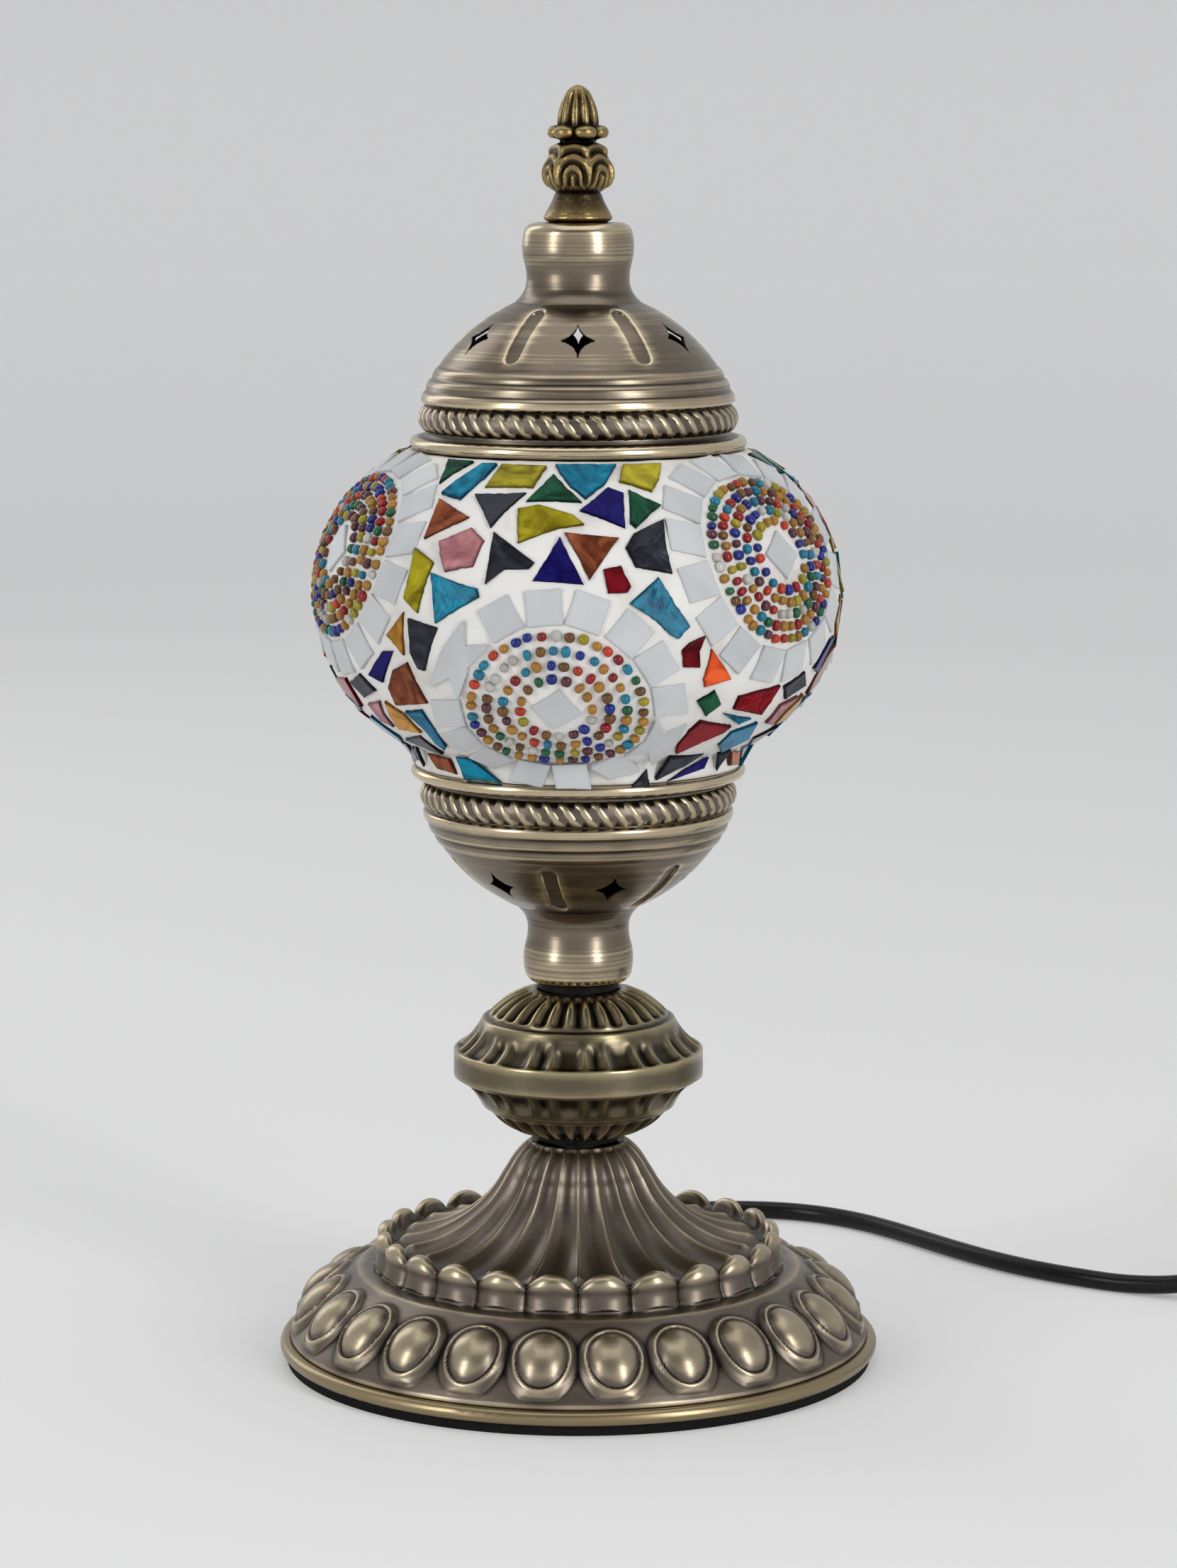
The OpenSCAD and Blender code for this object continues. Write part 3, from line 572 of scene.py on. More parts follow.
def blurred(points, radii, s, sigma):
    """A grid of points smoothed by sigma millimetres round the axis and along the outline."""
    wave = np.fft.rfft(points, axis=1)
    k = np.arange(wave.shape[1])
    wave *= np.exp(-0.5 * (k * sigma / np.maximum(0.5, radii)[:, None]) ** 2)[:, :, None]
    soft = np.fft.irfft(wave, n=points.shape[1], axis=1)
    weight = np.exp(-0.5 * ((s[:, None] - s[None, :]) / sigma) ** 2)
    weight /= weight.sum(1, keepdims=True)
    return np.einsum("ij,jkc->ikc", weight, soft)


def wear_and_painted_light_of(points, radii, s, fine, broad):
    """1 on raised edges, 0 in hollows and 0.5 on smooth faces: wear and patina, with painted
    highlights on raised shapes and painted shade in hollows.
    """
    du = np.roll(points, -1, 1) - np.roll(points, 1, 1)
    dv = np.gradient(points, axis=0)
    normal = np.cross(du, dv)
    normal /= np.maximum(1e-9, np.linalg.norm(normal, axis=2))[:, :, None]
    edge = ((points - blurred(points, radii, s, EDGE_BLUR)) * normal).sum(2)
    hollow = ((points - blurred(points, radii, s, HOLLOW_BLUR)) * normal).sum(2)
    return 0.5 + 0.5 * np.tanh(fine * edge + broad * hollow)


def float_attribute(piece, name, values):
    made = piece.data.attributes.new(name, "FLOAT", "POINT")
    made.data.foreach_set("value", np.asarray(values, np.float32))


# outline step of the inside in millimetres, and the colour level of its surface, a little under a
# smooth outside face's, so the inner walls come out a little darker
INSIDE_STEP, INSIDE_LEVEL = 2.5, 0.42


def lathe(name, path, relief, sheet, turns, step, lift=0.0, upside=False, fine=5.0, broad=1.1):
    """A piece turned from an outline of (radius, height) that climbs on its outside.
    relief(azimuth, radius, height) gives how far each point of the outside moves out and up.
    sheet is the wall's thickness, or None for a solid, and turns the number of points round.
    upside turns the outline over, and lift is the height that its zero lies at."""
    line, s = resample(path, step)
    normal = normals_of(line)
    az = np.arange(turns) * 360 / turns
    angle, radius = np.meshgrid(az, line[:, 0])
    height = np.repeat(line[:, 1:2], turns, 1)
    out, up = relief(angle, radius, height)
    new_r = np.maximum(0.02, radius + out * normal[:, :1])
    new_h = height + out * normal[:, 1:] + up
    points = spin(new_r, new_h, angle)
    rows = len(line)
    faces = grid_faces(rows, turns)
    verts = points.reshape(-1, 3)
    # colour level: wear and patina, with painted highlights on raised shapes and painted shade in
    # hollows
    level = wear_and_painted_light_of(points, line[:, 0], s, fine, broad).reshape(-1)
    if sheet is None:
        ends = np.array([(0, 0, new_h[0].mean()), (0, 0, new_h[-1].mean())])
        verts = np.concatenate([verts, ends])
        level = np.concatenate([level, [0.5, 0.5]])
        low, high, last = len(verts) - 2, len(verts) - 1, (rows - 1) * turns
        for k in range(turns):
            n = (k + 1) % turns
            faces.append((low, n, k))
            faces.append((high, last + k, last + n))
    else:
        inner, _ = resample(path, INSIDE_STEP)
        inner = inner - sheet * normals_of(inner)
        back = spin(inner[:, :1], inner[:, 1:], az)
        start = len(verts)
        verts = np.concatenate([verts, back.reshape(-1, 3)])
        level = np.concatenate([level, np.full(len(inner) * turns, INSIDE_LEVEL)])
        faces += grid_faces(len(inner), turns, start, flip=True)
        last, end = (rows - 1) * turns, start + (len(inner) - 1) * turns
        for k in range(turns):
            n = (k + 1) % turns
            faces.append((start + k, start + n, n, k))
            faces.append((last + k, last + n, end + n, end + k))
    if upside:
        verts[:, 2] *= -1
        faces = [f[::-1] for f in faces]
    verts[:, 2] += lift
    piece = mesh_object(name, verts, faces)
    float_attribute(piece, "wear_and_painted_light", level)
    return piece


# ---- base: oval bosses on the slope, a ring of scallops and a fluted cone

BASE_STEP = 15.0
# radius and height of the slope's foot, then how far it goes in, up and along
FOOT_R, FOOT_Z, RUN, RISE, LONG = 73.3, 8.6, 15.8, 14.6, 21.5
# a boss: its middle along the slope, then half widths and heights
BOSS_AT, DOME, RING, SKIRT = 9.9, (6.3, 7.7), (6.85, 8.3), (8.9, 10.8)
# half width of a ring's wire, as a share of the ring
WIRE = 0.08
slope_outline = [
    (74.3, 6.15), (74.2, 7.2), *arc((FOOT_R, FOOT_Z), (57.5, 23.2), 1.2, 12),
    *arc((56.5, 23.8), (52.4, 24.1), 0.1, 3)]
cone_outline = [
    (52.9, 24.0), (52.3, 24.1), (51.7, 24.5), (51.7, 28), (51.4, 31.2),
    *arc((51.0, 32.0), (48.6, 32.3), 0.5, 4), *arc((46.7, 31.7), (19.3, 48.4), -4.6, 16),
    *arc((18.3, 49.8), (12.0, 56.8), 0.7, 8)]


def boss_relief(az, r, z):
    """Egg-shaped domes in thin rings, each ring on a skirt that is fuller at its foot."""
    side = np.radians((az % BASE_STEP) - BASE_STEP / 2) * r
    up = ((FOOT_R - r) * RUN + (z - FOOT_Z) * RISE) / LONG - BOSS_AT
    dome = oval(side, up, *DOME)
    ring = oval(side, up, *RING)
    skirt = oval(side, up + 0.9, *SKIRT)
    flank = 1.15 * np.clip((1 - skirt) / 0.26, 0, 1) ** 0.7
    boss = flank + 0.55 * hump(ring, 1, WIRE)
    boss = boss - 0.5 * ease((1.0 - ring) / 0.06)
    boss = boss + 2.9 * np.clip(1 - dome ** 2, 0, 1) ** 0.7
    on_slope = ease((r - 56.8) / 1.0) * ease((73.8 - r) / 0.8)
    return np.maximum(boss, 0) * on_slope, 0 * r


def cone_relief(az, r, z):
    """Arched, waisted scallops round the foot; hollow flutes with thin ridges above them."""
    t = (az % BASE_STEP) / BASE_STEP
    arch = np.sin(np.pi * t) ** 0.65
    wall = ease((z - 23.9) / 0.4) * ease((r - 45.8) / 2.6)
    out = wall * (-1.6 + 2.5 * arch)
    out = out + (0.55 * hump(z, 24.8, 0.5) - 0.45 * hump(z, 28.0, 1.7)) * (r > 50)
    up = -1.9 * (1 - arch) * ease((z - 27.5) / 4.2) * ease((r - 43.5) / 4)
    cone = ease((49.4 - r) / 2.4) * ease((r - 12.2) / 0.8)
    depth = 0.8 + 1.6 * np.clip((r - 14) / 30, 0, 1)
    return out - cone * depth * np.sin(np.pi * t) ** 0.75, up


finish_piece(
    lathe("base_slope", slope_outline, boss_relief, 1.2, 960, 0.34, fine=1.7, broad=2.3),
    "lamp", "aged_brass", BRASS, "base_shell")
finish_piece(
    lathe("base_cone", cone_outline, cone_relief, 3.0, 624, 0.47, fine=2.0, broad=0.9),
    "lamp", "aged_brass", BRASS)

# ---- knob: a plain band between two chased ends

KNOB_MID = 77.3
PAIRS, RIBS = 13, 28
# degrees from a pair's middle to its swellings, and their width
SWELL_AT, SWELL_WIDE = 5.4, 3.3
knob_side = [*arc((31.9, 3.3), (24.6, 11.3), -0.9, 12), *arc((23.6, 11.5), (12.4, 18.6), 1.3, 10),
             (11.0, 18.9)]


def knob_relief(az, r, z):
    """Pairs of soft swellings on the lower tier, and ribs on the dome above it."""
    pitch = 360 / PAIRS
    turn = ((az + 5) % pitch) - pitch / 2
    swell = hump(np.abs(turn), SWELL_AT, SWELL_WIDE)
    low = ease((10.2 - z) / 4.0) * ease((z - 3.4) / 1.0)
    out = -1.2 * (1 - swell) * low
    rib = 0.5 + 0.5 * np.cos(2 * np.pi * az * RIBS / 360)
    dome = ease((23.0 - r) / 1.3) * ease((r - 12.0) / 2.2)
    out = out - dome * 1.35 * rib ** 1.1
    return out - 0.4 * hump(r, 23.3, 0.35) * (z > 9), 0 * r


band = [(30.6, -4.2), (31.5, -3.5), (31.9, -3.1), (31.9, 3.1)]
for name, outline, upside, node in (("knob_top", [*band, *knob_side], False, "knob_upper"),
                                    ("knob_foot", knob_side, True, "knob_lower")):
    finish_piece(
        lathe(name, outline, knob_relief, 1.9, 640, 0.36, KNOB_MID, upside, fine=1.7, broad=1.7),
        "lamp", "aged_brass", CHASED, node)

# ---- cup and cap: spun bells with pierced stars, pressed slots and steps

CUP_LIP, CAP_LIP = 152.7, 235.6
# stars, with a slot between every two; heights of their middles over the lip
STARS, STAR_Z, SLOT_Z = 6, 26.2, 27.4
# a star's radius on the bell, half width and height, bow of its sides, lean in degrees,
# reach of its cutter inwards and outwards
STAR_R, STAR_HALF, STAR_BOW, STAR_LEAN, STAR_CUT = 27.6, (4.15, 5.5), 0.95, 48, (-5.5, 6.5)
# half of a slot's width and of its straight length
SLOT_HALF, SLOT_REACH = 2.2, 6.2
STEP_EDGES = (9.9, 12.8, 15.85, 18.75)


def bell_outline():
    """Lip, upright band, steps, dome, waist and closed neck."""
    lip = [(40.85 + 1.55 * math.cos(math.radians(a)), 1.55 * math.sin(math.radians(a)))
           for a in range(-100, 126, 15)]
    return [*lip, (39.1, 1.0), (38.5, 1.5), (38.3, 2.4), (38.3, 9.6),
            *arc((39.4, 10), (38.8, 12.6), 0.25, 4), *arc((38.2, 13), (37.4, 15.7), 0.2, 4),
            *arc((36.7, 16), (35.6, 18.6), 0.2, 4), *arc((35, 18.9), (15.8, 34.8), 1.75, 16),
            *arc((15.4, 35.3), (12.9, 41.2), -0.8, 6), *arc((12.95, 42.2), (13.7, 45.6), -0.1, 3),
            *arc((13.8, 46.2), (13.8, 51.2), 0.2, 5), *arc((13.7, 51.6), (11, 54.6), 0.8, 6),
            (3.4, 54.6)]


def bell_relief(slot_az):
    """Pressed slots on the dome, thin grooves at the steps and fine lines round the neck."""
    def relief(az, r, z):
        pitch = 360 / STARS
        off = ((az - slot_az + pitch / 2) % pitch) - pitch / 2
        across = np.radians(off) * r
        slope = ease((r - 17) / 2) * ease((35.2 - r) / 0.8)
        along = (z - SLOT_Z) * 1.32
        reach = np.maximum(0, np.abs(along) - SLOT_REACH)
        gauge = np.sqrt(across ** 2 + reach ** 2)
        slot = -1.3 * ease((SLOT_HALF - gauge) / 0.85) + 0.06 * hump(gauge, 2.5, 0.6)
        edge = -0.12 * sum(hump(z, step, 0.22) for step in STEP_EDGES)
        lines = 0.05 * np.sin(z * 5.2) * ease((z - 46) / 0.6) * ease((51.2 - z) / 0.6)
        return slope * slot + (edge + lines) * (r > 11.5) * (z > 5), 0 * r
    return relief


def star_cutters(star_az, lift, upside):
    """Prisms with the outline of a four-pointed star, square to the bell's slope."""
    wide, high = STAR_HALF
    tips = [(wide, 0), (0, high), (-wide, 0), (0, -high)]
    outline = []
    for a, b in zip(tips, tips[1:] + tips[:1]):
        outline += arc(a, b, -STAR_BOW, 6)[:-1]
    lean = math.radians(STAR_LEAN)
    verts, faces, n = [], [], len(outline)
    for k in range(STARS):
        az = math.radians(star_az + 360 / STARS * k)
        way = np.array([math.sin(az), -math.cos(az), 0])
        side = np.array([math.cos(az), math.sin(az), 0])
        rise = np.array([0, 0, 1.0])
        out = math.cos(lean) * way + math.sin(lean) * rise
        climb = -math.sin(lean) * way + math.cos(lean) * rise
        start = len(verts)
        for depth in STAR_CUT:
            for x, y in outline:
                verts.append(STAR_R * way + STAR_Z * rise + depth * out + x * side + y * climb)
        faces += grid_faces(2, n, start)
        faces.append(tuple(start + q for q in reversed(range(n))))
        faces.append(tuple(start + n + q for q in range(n)))
    verts = np.array(verts)
    if upside:
        verts[:, 2] *= -1
        faces = [f[::-1] for f in faces]
    verts[:, 2] += lift
    return mesh_object("star_cutters", verts, faces, smooth=False)


def bell(name, lift, upside, star_az, slot_az):
    """A spun bell with stars cut through it."""
    piece = lathe(name, bell_outline(), bell_relief(slot_az), 0.6, 480, 0.56, lift, upside,
                  fine=1.6, broad=2.0)
    cutters = star_cutters(star_az, lift, upside)
    cut = piece.modifiers.new("stars", "BOOLEAN")
    cut.operation = "DIFFERENCE"
    cut.solver = "MANIFOLD"
    cut.object = cutters
    shown = piece.evaluated_get(bpy.context.evaluated_depsgraph_get())
    pierced = bpy.data.meshes.new_from_object(shown)
    piece.modifiers.clear()
    piece.data = pierced
    bpy.data.objects.remove(cutters)
    pierced.shade_smooth()
    return piece


finish_piece(bell("cap_bell", CAP_LIP, False, 0, 30), "cap", "aged_brass", TURNED, "cap_shell")
finish_piece(bell("cup_bell", CUP_LIP, True, 17, 47), "lamp", "aged_brass", TURNED, "lower_cup")

STRANDS = 60
# middle and half height of the rope, and how many strands it slants across
ROPE_Z, ROPE_HALF, SLANT = 6.1, 3.3, 0.95


def rope_relief(az, r, z):
    """Slanting strands that close in at both edges."""
    place = az * STRANDS / 360 + (z - ROPE_Z) / (2 * ROPE_HALF) * SLANT
    lobe = np.clip(1 - (2 * (place % 1) - 1) ** 2, 0, 1) ** 0.6
    end = np.clip(1.02 - ((z - ROPE_Z) / ROPE_HALF) ** 2, 0, 1) ** 0.35
    foot = 0.9 * (1 - lobe) * ease((4.6 - z) / 1.8)
    return -(1.75 * (1 - lobe)) * end, foot


def rope(name, lift, upside):
    """A rope band; one to be turned over is slanted the other way."""
    path = [(38.32, 2.8), *arc((38.5, 2.85), (38.5, 9.35), 1.75, 10), (38.32, 9.4)]
    relief = rope_relief
    if upside:
        def relief(az, r, z):
            return rope_relief(-az, r, z)
    return lathe(name, path, relief, 0.1, 1200, 0.42, lift, upside, fine=1.5, broad=1.9)


finish_piece(rope("cap_rope_band", CAP_LIP, False), "cap", "aged_brass", BRASS, "cap_rope")
finish_piece(rope("cup_rope_band", CUP_LIP, True), "lamp", "aged_brass", BRASS, "lower_rope")

# ---- finial: a cast bud over a ring of leaf tips and a leafy bulb

FINIAL_Z = 290.2
# leaves, the azimuth of one, and degrees between the bud's grooves
LEAVES, LEAF_AZ, BUD_STEP = 6, 20.0, 36
finial_outline = [
    (3.1, 0), (7.2, 0.0), *arc((8.2, 0.6), (8.3, 1.9), 0.35, 4),
    *arc((8.0, 2.6), (5.9, 6.9), -0.15, 4), *arc((5.5, 7.5), (8.4, 12.0), 0.75, 7),
    *arc((8.4, 12.5), (5.2, 20.2), 0.5, 8),
    *arc((5.1, 20.8), (5.2, 24.4), 0.1, 5), *arc((5.2, 25.0), (3.6, 30.8), 0.35, 7),
    *arc((3.4, 31.3), (0.25, 33.93), 0.5, 7)]


def finial_relief(az, r, z):
    """Six leaves with turned-out tips, nested arches between their ribs, and a ribbed bud."""
    pitch = 360 / LEAVES
    turn = ((az - LEAF_AZ + pitch / 2) % pitch) - pitch / 2
    from_rib = np.radians(turn) * r
    from_middle = np.radians(pitch / 2 - np.abs(turn)) * r
    arch = np.hypot(from_middle, 0.8 * np.maximum(0, z - 11.0))
    bulb = ease((z - 7.8) / 1.4) * ease((20.4 - z) / 1.6)
    out = bulb * (0.4 * np.cos(2 * np.pi * arch / 2.2) - 0.25)
    out = out + bulb * 0.7 * hump(from_rib, 0, 0.8) * ease((20.5 - z) / 3)
    tip = oval(from_rib, z - 22.3, 2.75, 1.75)
    out = out + 2.5 * np.clip(1 - tip ** 2, 0, 1) ** 0.5
    under = np.exp(-(from_rib / 2.9) ** 4) * hump(z, 20.1, 0.5)
    out = out - 0.9 * under
    bud = ease((z - 19.8) / 1.2) * ease((33.9 - z) / 2.6) * ease((tip - 0.9) / 0.4)
    grooves = np.abs(np.cos(np.pi * (az - 8) / BUD_STEP)) ** 3
    return out - bud * 0.75 * grooves, 0 * r


finish_piece(
    lathe("finial_cast", finial_outline, finial_relief, None, 400, 0.2, FINIAL_Z, fine=2.6,
          broad=2.6),
    "cap", "gold_brass", CAST, "finial")

# ---------------- mosaic

# the globe's arc: height of its middle and distance from the axis, radii of the tiles' faces
# and of the plaster, height angle below which the wall is upright
GLOBE_Z, ARC_OFFSET, ARC_R, BED_R, NECK_LAT = 196.8, 25.4, 41.5, 40.7, -66.0
REPEATS = 3
# centre (azimuth, height angle), outer bead ring half width and height, beads in each ring
MEDALLIONS = [((-5, -31.5), 21.6, 20.2, (16, 24, 32, 40)),
              ((51.3, 20.3), 22.0, 21.0, (17, 25, 32, 39, 46))]
INNER_RING_R = 8.9


def on_globe(az, lat, radius):
    """A point of the mosaic: below the neck the wall is upright."""
    e = max(lat, NECK_LAT)
    out = ARC_OFFSET + radius * math.cos(math.radians(e))
    drop = math.radians(e - lat) * ARC_R
    a = math.radians(az)
    return np.array([out * math.sin(a), -out * math.cos(a),
                     GLOBE_Z + radius * math.sin(math.radians(e)) - drop])


def from_centre(centre, x, y):
    """Azimuth and height angle of a point x right of a centre and y above it."""
    lat = centre[1] + math.degrees(y / ARC_R)
    out = ARC_OFFSET + ARC_R * math.cos(math.radians(max(lat, NECK_LAT)))
    return centre[0] + math.degrees(x / out), lat


def frame_at(az, lat):
    """Directions to the right, upwards along the surface and outwards."""
    a, e = math.radians(az), math.radians(lat if lat > NECK_LAT else 0)
    right = np.array([math.cos(a), math.sin(a), 0])
    outward = np.array([math.sin(a) * math.cos(e), -math.cos(a) * math.cos(e), math.sin(e)])
    return right, np.cross(outward, right), outward


def az_lat(point):
    """Azimuth and height angle of a point near the globe."""
    x, y, z = point
    out = math.hypot(x, y) - ARC_OFFSET
    lat = math.degrees(math.atan2(z - GLOBE_Z, out))
    low = GLOBE_Z + ARC_R * math.sin(math.radians(NECK_LAT))
    if z < low:
        lat = NECK_LAT - math.degrees((low - z) / ARC_R)
    return math.degrees(math.atan2(x, -y)), lat


def tiles_of(node):
    """The outline of each tile of a CAD node, on the mosaic's face, in order round it."""
    co = np.array([v.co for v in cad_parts[node].data.vertices]) / MM
    keys, first = np.unique(np.round(co, 3), axis=0, return_inverse=True)
    first = first.reshape(-1)
    parent = list(range(len(keys)))

    def root(i):
        while parent[i] != i:
            parent[i] = parent[parent[i]]
            i = parent[i]
        return i

    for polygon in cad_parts[node].data.polygons:
        corners = [root(int(first[v])) for v in polygon.vertices]
        for c in corners[1:]:
            parent[root(c)] = root(corners[0])
    groups = {}
    for i in range(len(keys)):
        groups.setdefault(root(i), []).append(keys[i])
    outlines = []
    for points in groups.values():
        top = []
        for p in points:
            out = math.hypot(p[0], p[1]) - ARC_OFFSET
            if az_lat(p)[1] < NECK_LAT + 0.01:
                depth = out / math.cos(math.radians(NECK_LAT))
            else:
                depth = math.hypot(out, p[2] - GLOBE_Z)
            if depth > (BED_R + ARC_R) / 2:
                top.append(p)
        top = np.array(top)
        if len(top) < 4:
            continue
        middle = top.mean(0)
        centre = top[np.argmin(np.linalg.norm(top - middle, axis=1))]
        ring = np.array([p for p in top if p is not centre and np.abs(p - centre).max() > 1e-6])
        right, rise, _ = frame_at(*az_lat(centre))
        flat = (ring - centre) @ np.column_stack([right, rise])
        order = np.argsort(np.arctan2(flat[:, 1], flat[:, 0]))
        outlines.append((centre, ring[order]))
    outlines.sort(key=lambda t: (round(t[0][2], 2), round(t[0][0], 2)))
    return outlines


# distance in from a tile's outline, height over its plane and strength of the painted shade, from
# the bed up
TILE_RIM = ((0.0, -1.15, 1.0), (0.0, -0.30, 1.0), (0.10, -0.09, 0.8), (0.30, 0.0, 0.35),
            (0.8, 0.0, 0.0))
# how far a tile leans, how uneven its face is, how little its corners chip
LEAN, UNEVEN, CORNER_CHIP = 0.022, 0.02, 0.4
# depth of chips and strength of the painted shade on rims, on the pale squares and on the other
# tiles
CHIPS, RIM_SHADE = (0.10, 0.26), (0.10, 0.85)


def chipped(ring, dice, chip):
    """An outline's points about 1 mm apart, and how far each is chipped inwards."""
    out = []
    for a, b in zip(ring, np.roll(ring, -1, axis=0)):
        steps = max(1, int(np.linalg.norm(b - a)))
        for k in range(steps):
            pull = dice.random() ** 3 * chip if k else dice.random() * chip * CORNER_CHIP
            out.append((a + (b - a) * k / steps, pull))
    return out


def glass_piece(verts, faces, tints, rim_shades, centre, ring, dice, chip):
    """One tile: a flat face with a rounded rim, bedded in the plaster."""
    right, rise, outward = frame_at(*az_lat(centre))
    rel = ring - centre
    flat = np.column_stack([rel @ right, rel @ rise])
    height = rel @ outward
    # a plane through the outline, so that a tile lies flat on its bed
    slope = np.linalg.lstsq(np.column_stack([flat, np.ones(len(flat))]), height, rcond=None)[0]
    slope[:2] += [dice.uniform(-LEAN, LEAN), dice.uniform(-LEAN, LEAN)]
    edge = chipped(flat, dice, chip)
    n = len(edge)
    start, tint = len(verts), dice.random()
    # each ring's rim value is the painted shade on the tile's sunken side
    for inset, up, rim in TILE_RIM:
        for point, pull in edge:
            far = max(0.3, float(np.hypot(*point)))
            share = min(0.9, (inset * 1.25 + pull) / far)
            x, y = point - point * share
            z = slope[0] * x + slope[1] * y + slope[2] + up
            if inset > 0.2:
                z += dice.uniform(-UNEVEN, UNEVEN)
            verts.append(centre + x * right + y * rise + z * outward)
            tints.append(tint)
            rim_shades.append(rim)
    verts.append(centre + slope[2] * outward)
    tints.append(tint)
    rim_shades.append(0)
    rows = len(TILE_RIM)
    faces += grid_faces(rows, n, start)
    last, top = start + (rows - 1) * n, start + rows * n
    for k in range(n):
        faces.append((last + k, last + (k + 1) % n, top))
    faces.append(tuple(start + k for k in reversed(range(n))))


# deep and pale colour, size and detail of the streaks, roughness
TILE_GLASS = {
    "white": ((0.43, 0.45, 0.462), (0.51, 0.525, 0.533), (45, 2), 0.16),
    "green": ((0.002, 0.026, 0.012), (0.018, 0.115, 0.055), (160, 3), 0.07),
    "teal": ((0.001, 0.045, 0.095), (0.006, 0.21, 0.33), (150, 3), 0.07),
    "blue": ((0.002, 0.045, 0.10), (0.012, 0.17, 0.30), (150, 3), 0.07),
    "olive": ((0.12, 0.095, 0.003), (0.42, 0.36, 0.018), (150, 3), 0.08),
    "amber": ((0.17, 0.068, 0.008), (0.55, 0.28, 0.045), (150, 3), 0.08),
    "charcoal": ((0.007, 0.008, 0.012), (0.038, 0.040, 0.052), (140, 3), 0.12),
    "indigo": ((0.003, 0.002, 0.040), (0.012, 0.010, 0.125), (120, 3), 0.06),
    "dark_red": ((0.055, 0.002, 0.004), (0.22, 0.006, 0.012), (140, 3), 0.06),
    "orange": ((0.42, 0.035, 0.008), (0.76, 0.11, 0.03), (140, 3), 0.07),
    "brown": ((0.09, 0.022, 0.010), (0.34, 0.10, 0.042), (150, 3), 0.07),
    "pink": ((0.15, 0.042, 0.055), (0.46, 0.20, 0.21), (110, 3), 0.09),
}

for colour, (deep, pale, streak, rough) in TILE_GLASS.items():
    node = "tiles_" + colour
    dice = random.Random(node)
    kind = 0 if colour == "white" else 1
    verts, faces, tints, rim_shades = [], [], [], []
    for centre, ring in tiles_of(node):
        glass_piece(verts, faces, tints, rim_shades, centre, ring, dice, CHIPS[kind])
    piece = mesh_object("mosaic_" + colour, verts, faces, smooth=False)
    float_attribute(piece, "tint", tints)
    float_attribute(piece, "rim", np.array(rim_shades) * RIM_SHADE[kind])
    glass = tile_glass("glass_" + colour, deep, pale, streak, rough)
    finish_piece(piece, "lamp", "glass_" + colour, glass, node)

# colour, and how many beads in a hundred have it
BEAD_COLOURS = [
    ((0.28, 0.13, 0.012), 20), ((0.11, 0.045, 0.008), 13), ((0.38, 0.37, 0.34), 9),
    ((0.002, 0.010, 0.15), 11), ((0.002, 0.13, 0.21), 9), ((0.003, 0.075, 0.025), 8),
    ((0.19, 0.002, 0.003), 9), ((0.34, 0.024, 0.005), 5), ((0.065, 0.015, 0.022), 8),
    ((0.24, 0.20, 0.006), 8)]
BEAD_ROWS, BEAD_SIDES = 7, 10


def bead_shape():
    """A unit bead, squarer than a ball: a short glass tube with rounded ends."""
    shape = []
    for i in range(1, BEAD_ROWS):
        lat = math.pi * i / BEAD_ROWS - math.pi / 2
        for k in range(BEAD_SIDES):
            lon = 2 * math.pi * k / BEAD_SIDES
            shape.append((math.cos(lat) * math.cos(lon), math.cos(lat) * math.sin(lon),
                          math.sin(lat)))
    shape = [tuple(math.copysign(abs(c) ** 0.8, c) for c in p) for p in shape]
    return [*shape, (0, 0, -1), (0, 0, 1)]


def bead_faces(start, size):
    """The faces of a bead of size points that begin at start."""
    faces, low, high, sides = [], start + size - 2, start + size - 1, BEAD_SIDES
    for i in range(BEAD_ROWS - 2):
        for q in range(sides):
            u, v = start + i * sides + q, start + i * sides + (q + 1) % sides
            faces.append((u + sides, v + sides, v, u))
    for q in range(sides):
        u, v = start + q, start + (q + 1) % sides
        faces.append((u, v, low))
        u, v = u + (BEAD_ROWS - 2) * sides, v + (BEAD_ROWS - 2) * sides
        faces.append((v, u, high))
    return faces


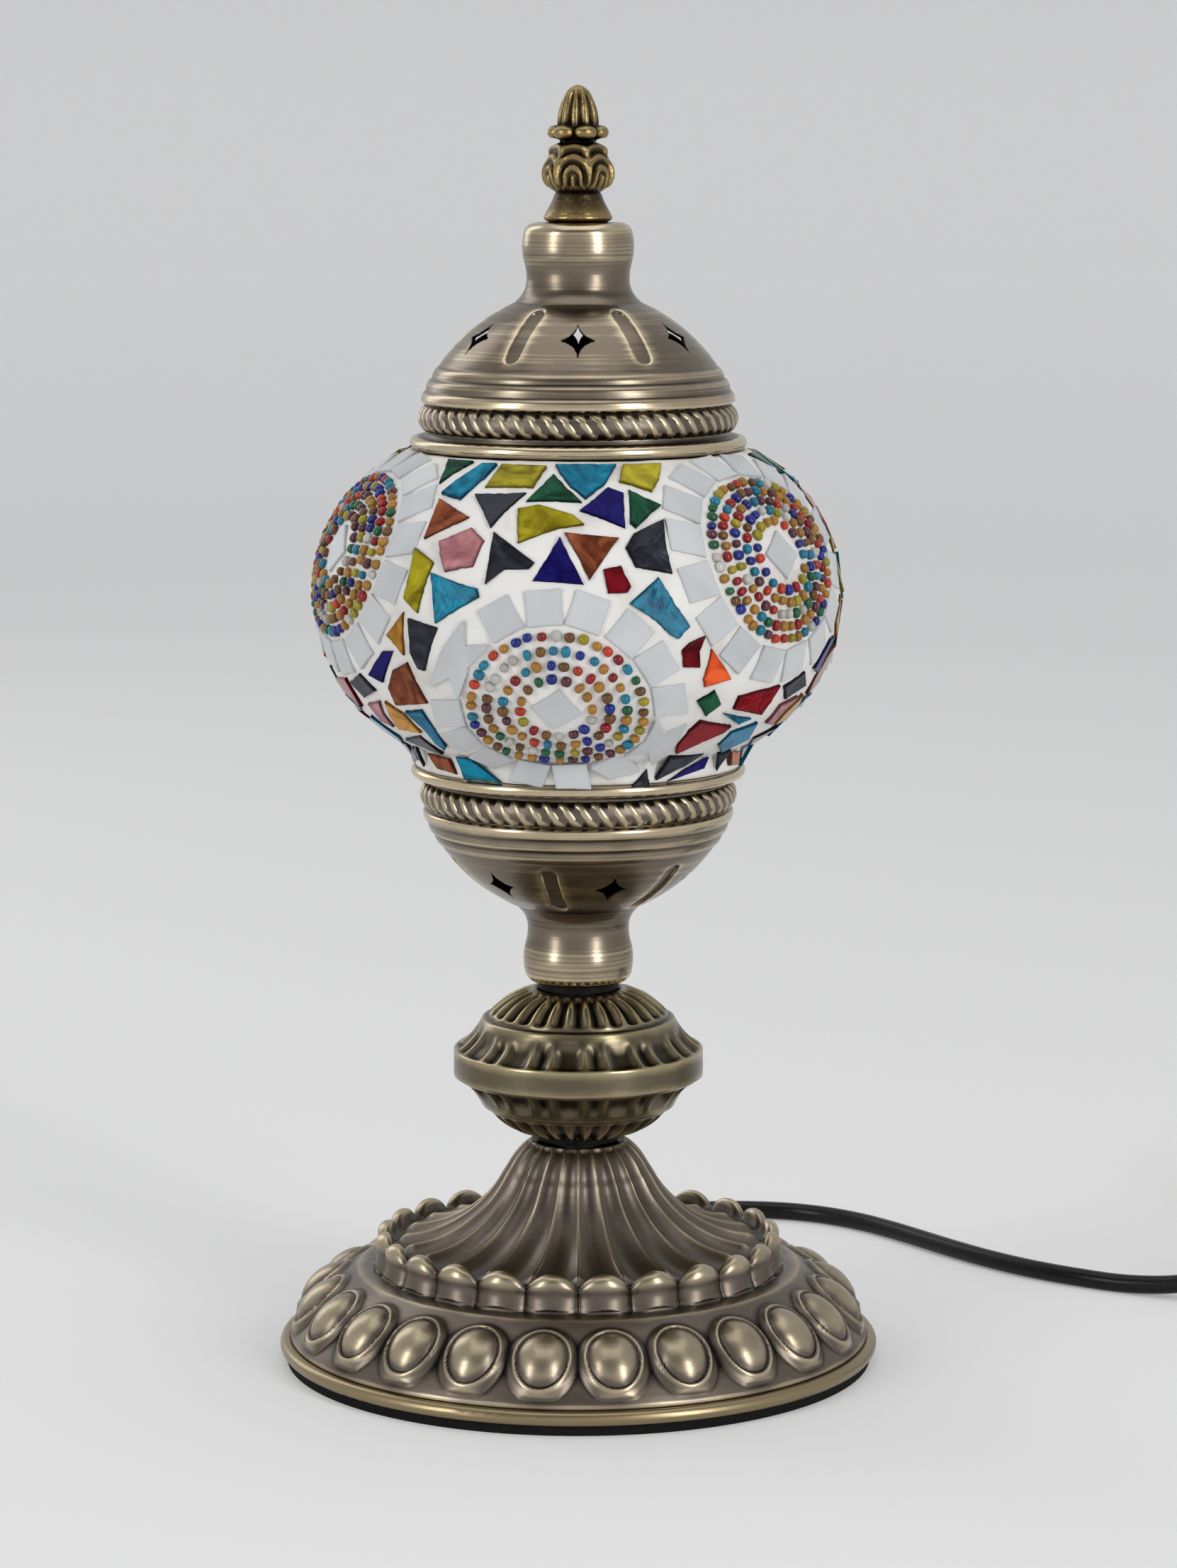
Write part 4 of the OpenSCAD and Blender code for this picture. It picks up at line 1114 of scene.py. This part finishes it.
def bead_rings():
    """Rounded glass beads strung in oval rings round each medallion's middle."""
    dice = random.Random(7)
    verts, faces, colours = [], [], []
    palette = [c for c, share in BEAD_COLOURS for _ in range(share)]
    shape = bead_shape()
    rings = [(repeat, centre, j / (len(counts) - 1), half_w, half_h, count)
             for repeat in range(REPEATS) for centre, half_w, half_h, counts in MEDALLIONS
             for j, count in enumerate(counts)]
    for repeat, centre, share, half_w, half_h, count in rings:
        rx = INNER_RING_R + share * (half_w - INNER_RING_R)
        ry = INNER_RING_R + share * (half_h - INNER_RING_R)
        turn = dice.random() * 360
        for k in range(count):
            a = math.radians(turn + 360 * (k + dice.uniform(-0.10, 0.10)) / count)
            wobble = dice.uniform(-0.22, 0.22)
            az, lat = from_centre(centre, (rx + wobble) * math.cos(a),
                                  (ry + wobble) * math.sin(a))
            az += 360 / REPEATS * repeat
            right, rise, outward = frame_at(az, lat)
            across = math.cos(a) * right + math.sin(a) * rise
            along = -math.sin(a) * right + math.cos(a) * rise
            size = (dice.uniform(0.98, 1.38), dice.uniform(1.10, 1.46), 1.05)
            lean = dice.uniform(-0.2, 0.2)
            across, along = (across * math.cos(lean) + along * math.sin(lean),
                             along * math.cos(lean) - across * math.sin(lean))
            place = on_globe(az, lat, BED_R + dice.uniform(0.32, 0.5))
            faces += bead_faces(len(verts), len(shape))
            for x, y, z in shape:
                verts.append(place + x * size[0] * along + y * size[1] * across
                             + z * size[2] * outward)
            colour = dice.choice(palette)
            glow = dice.uniform(0.8, 1.2)
            colours += [(*(min(1, c * glow) for c in colour), 1)] * len(shape)
    piece = mesh_object("bead_strings", verts, faces)
    made = piece.data.attributes.new("bead", "FLOAT_COLOR", "POINT")
    made.data.foreach_set("color", np.array(colours, np.float32).reshape(-1))
    return piece


finish_piece(bead_rings(), "lamp", "glass_beads", BEAD, "bead_rings")


def arc_line(radius, low, high, n):
    """The globe's outline at a radius, from one height angle to another."""
    return [(ARC_OFFSET + radius * math.cos(math.radians(low + (high - low) * i / n)),
             GLOBE_Z + radius * math.sin(math.radians(low + (high - low) * i / n)))
            for i in range(n + 1)]


def plaster_relief(az, r, z):
    """Gentle unevenness, as when smoothed by hand."""
    a = np.radians(az)
    wave = (np.sin(9 * a + z * 0.23) + np.sin(17 * a - z * 0.41 + 1.3) + np.sin(31 * a + z * 0.7)
            + np.sin(z * 0.9 + 5 * a))
    fine = np.sin(83 * a + 2.1 * z) * np.sin(61 * a - 1.7 * z + 0.6)
    return 0.035 * wave + 0.03 * fine - 0.03, 0 * r


plaster_outline = [(41.3, 154.4), (41.6, 157.4), *arc_line(BED_R, NECK_LAT, 65.2, 60),
                   (41.2, 233.7), (39.8, 233.7), (38.6, 233.25), (38.2, 231.8)]
finish_piece(lathe("plaster_bed", plaster_outline, plaster_relief, 2.0, 420, 0.9),
             "lamp", "plaster", GROUT, "grout")

# ---------------- CAD parts that stay

NODE_LOOKS = (
    (FOAM, "base_pad"), (RIM_PLAIN, "base_plate"), (IRON, "ballast"), (SHADED_SPACER, "lower_neck"),
    (SHADED_SPACER, "upper_neck"), (SILICONE, "globe_seat"), (GLASS, "globe_glass"),
    (IVORY, "holder_base", "holder_body", "bulb_housing"), (CERAMIC, "holder_core"),
    (CONTACT, "holder_shell", "holder_contact", "bulb_tip", "switch_terminals"),
    (SLEEVE, "inner_wires"), (OPAL, "bulb_glass"), (NICKEL, "bulb_cap", "plug_pins"),
    (ZINC, "stem_rod", "bottom_nut", "bottom_washer", "cup_washer", "cup_nut", "cap_washer",
     "cap_nut", "finial_stud"),
    (PLASTIC, "strain_relief", "switch_base", "switch_cover", "switch_rocker", "plug_body"))
SOFT_EDGES = {"switch_base": 0.5, "switch_cover": 0.8, "switch_rocker": 0.3, "plug_body": 0.7,
              "holder_base": 0.3, "holder_body": 0.3}

for look, *nodes in NODE_LOOKS:
    for node in nodes:
        dress(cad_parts[node], look)
for node, width in SOFT_EDGES.items():
    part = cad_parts[node]
    part.modifiers.new("weld", "WELD").merge_threshold = 1e-6
    edge = part.modifiers.new("edge", "BEVEL")
    edge.width = width * MM
    edge.segments = 3
    edge.limit_method = "ANGLE"
    edge.angle_limit = math.radians(38)

# ---------------- end

bpy.context.view_layer.update()
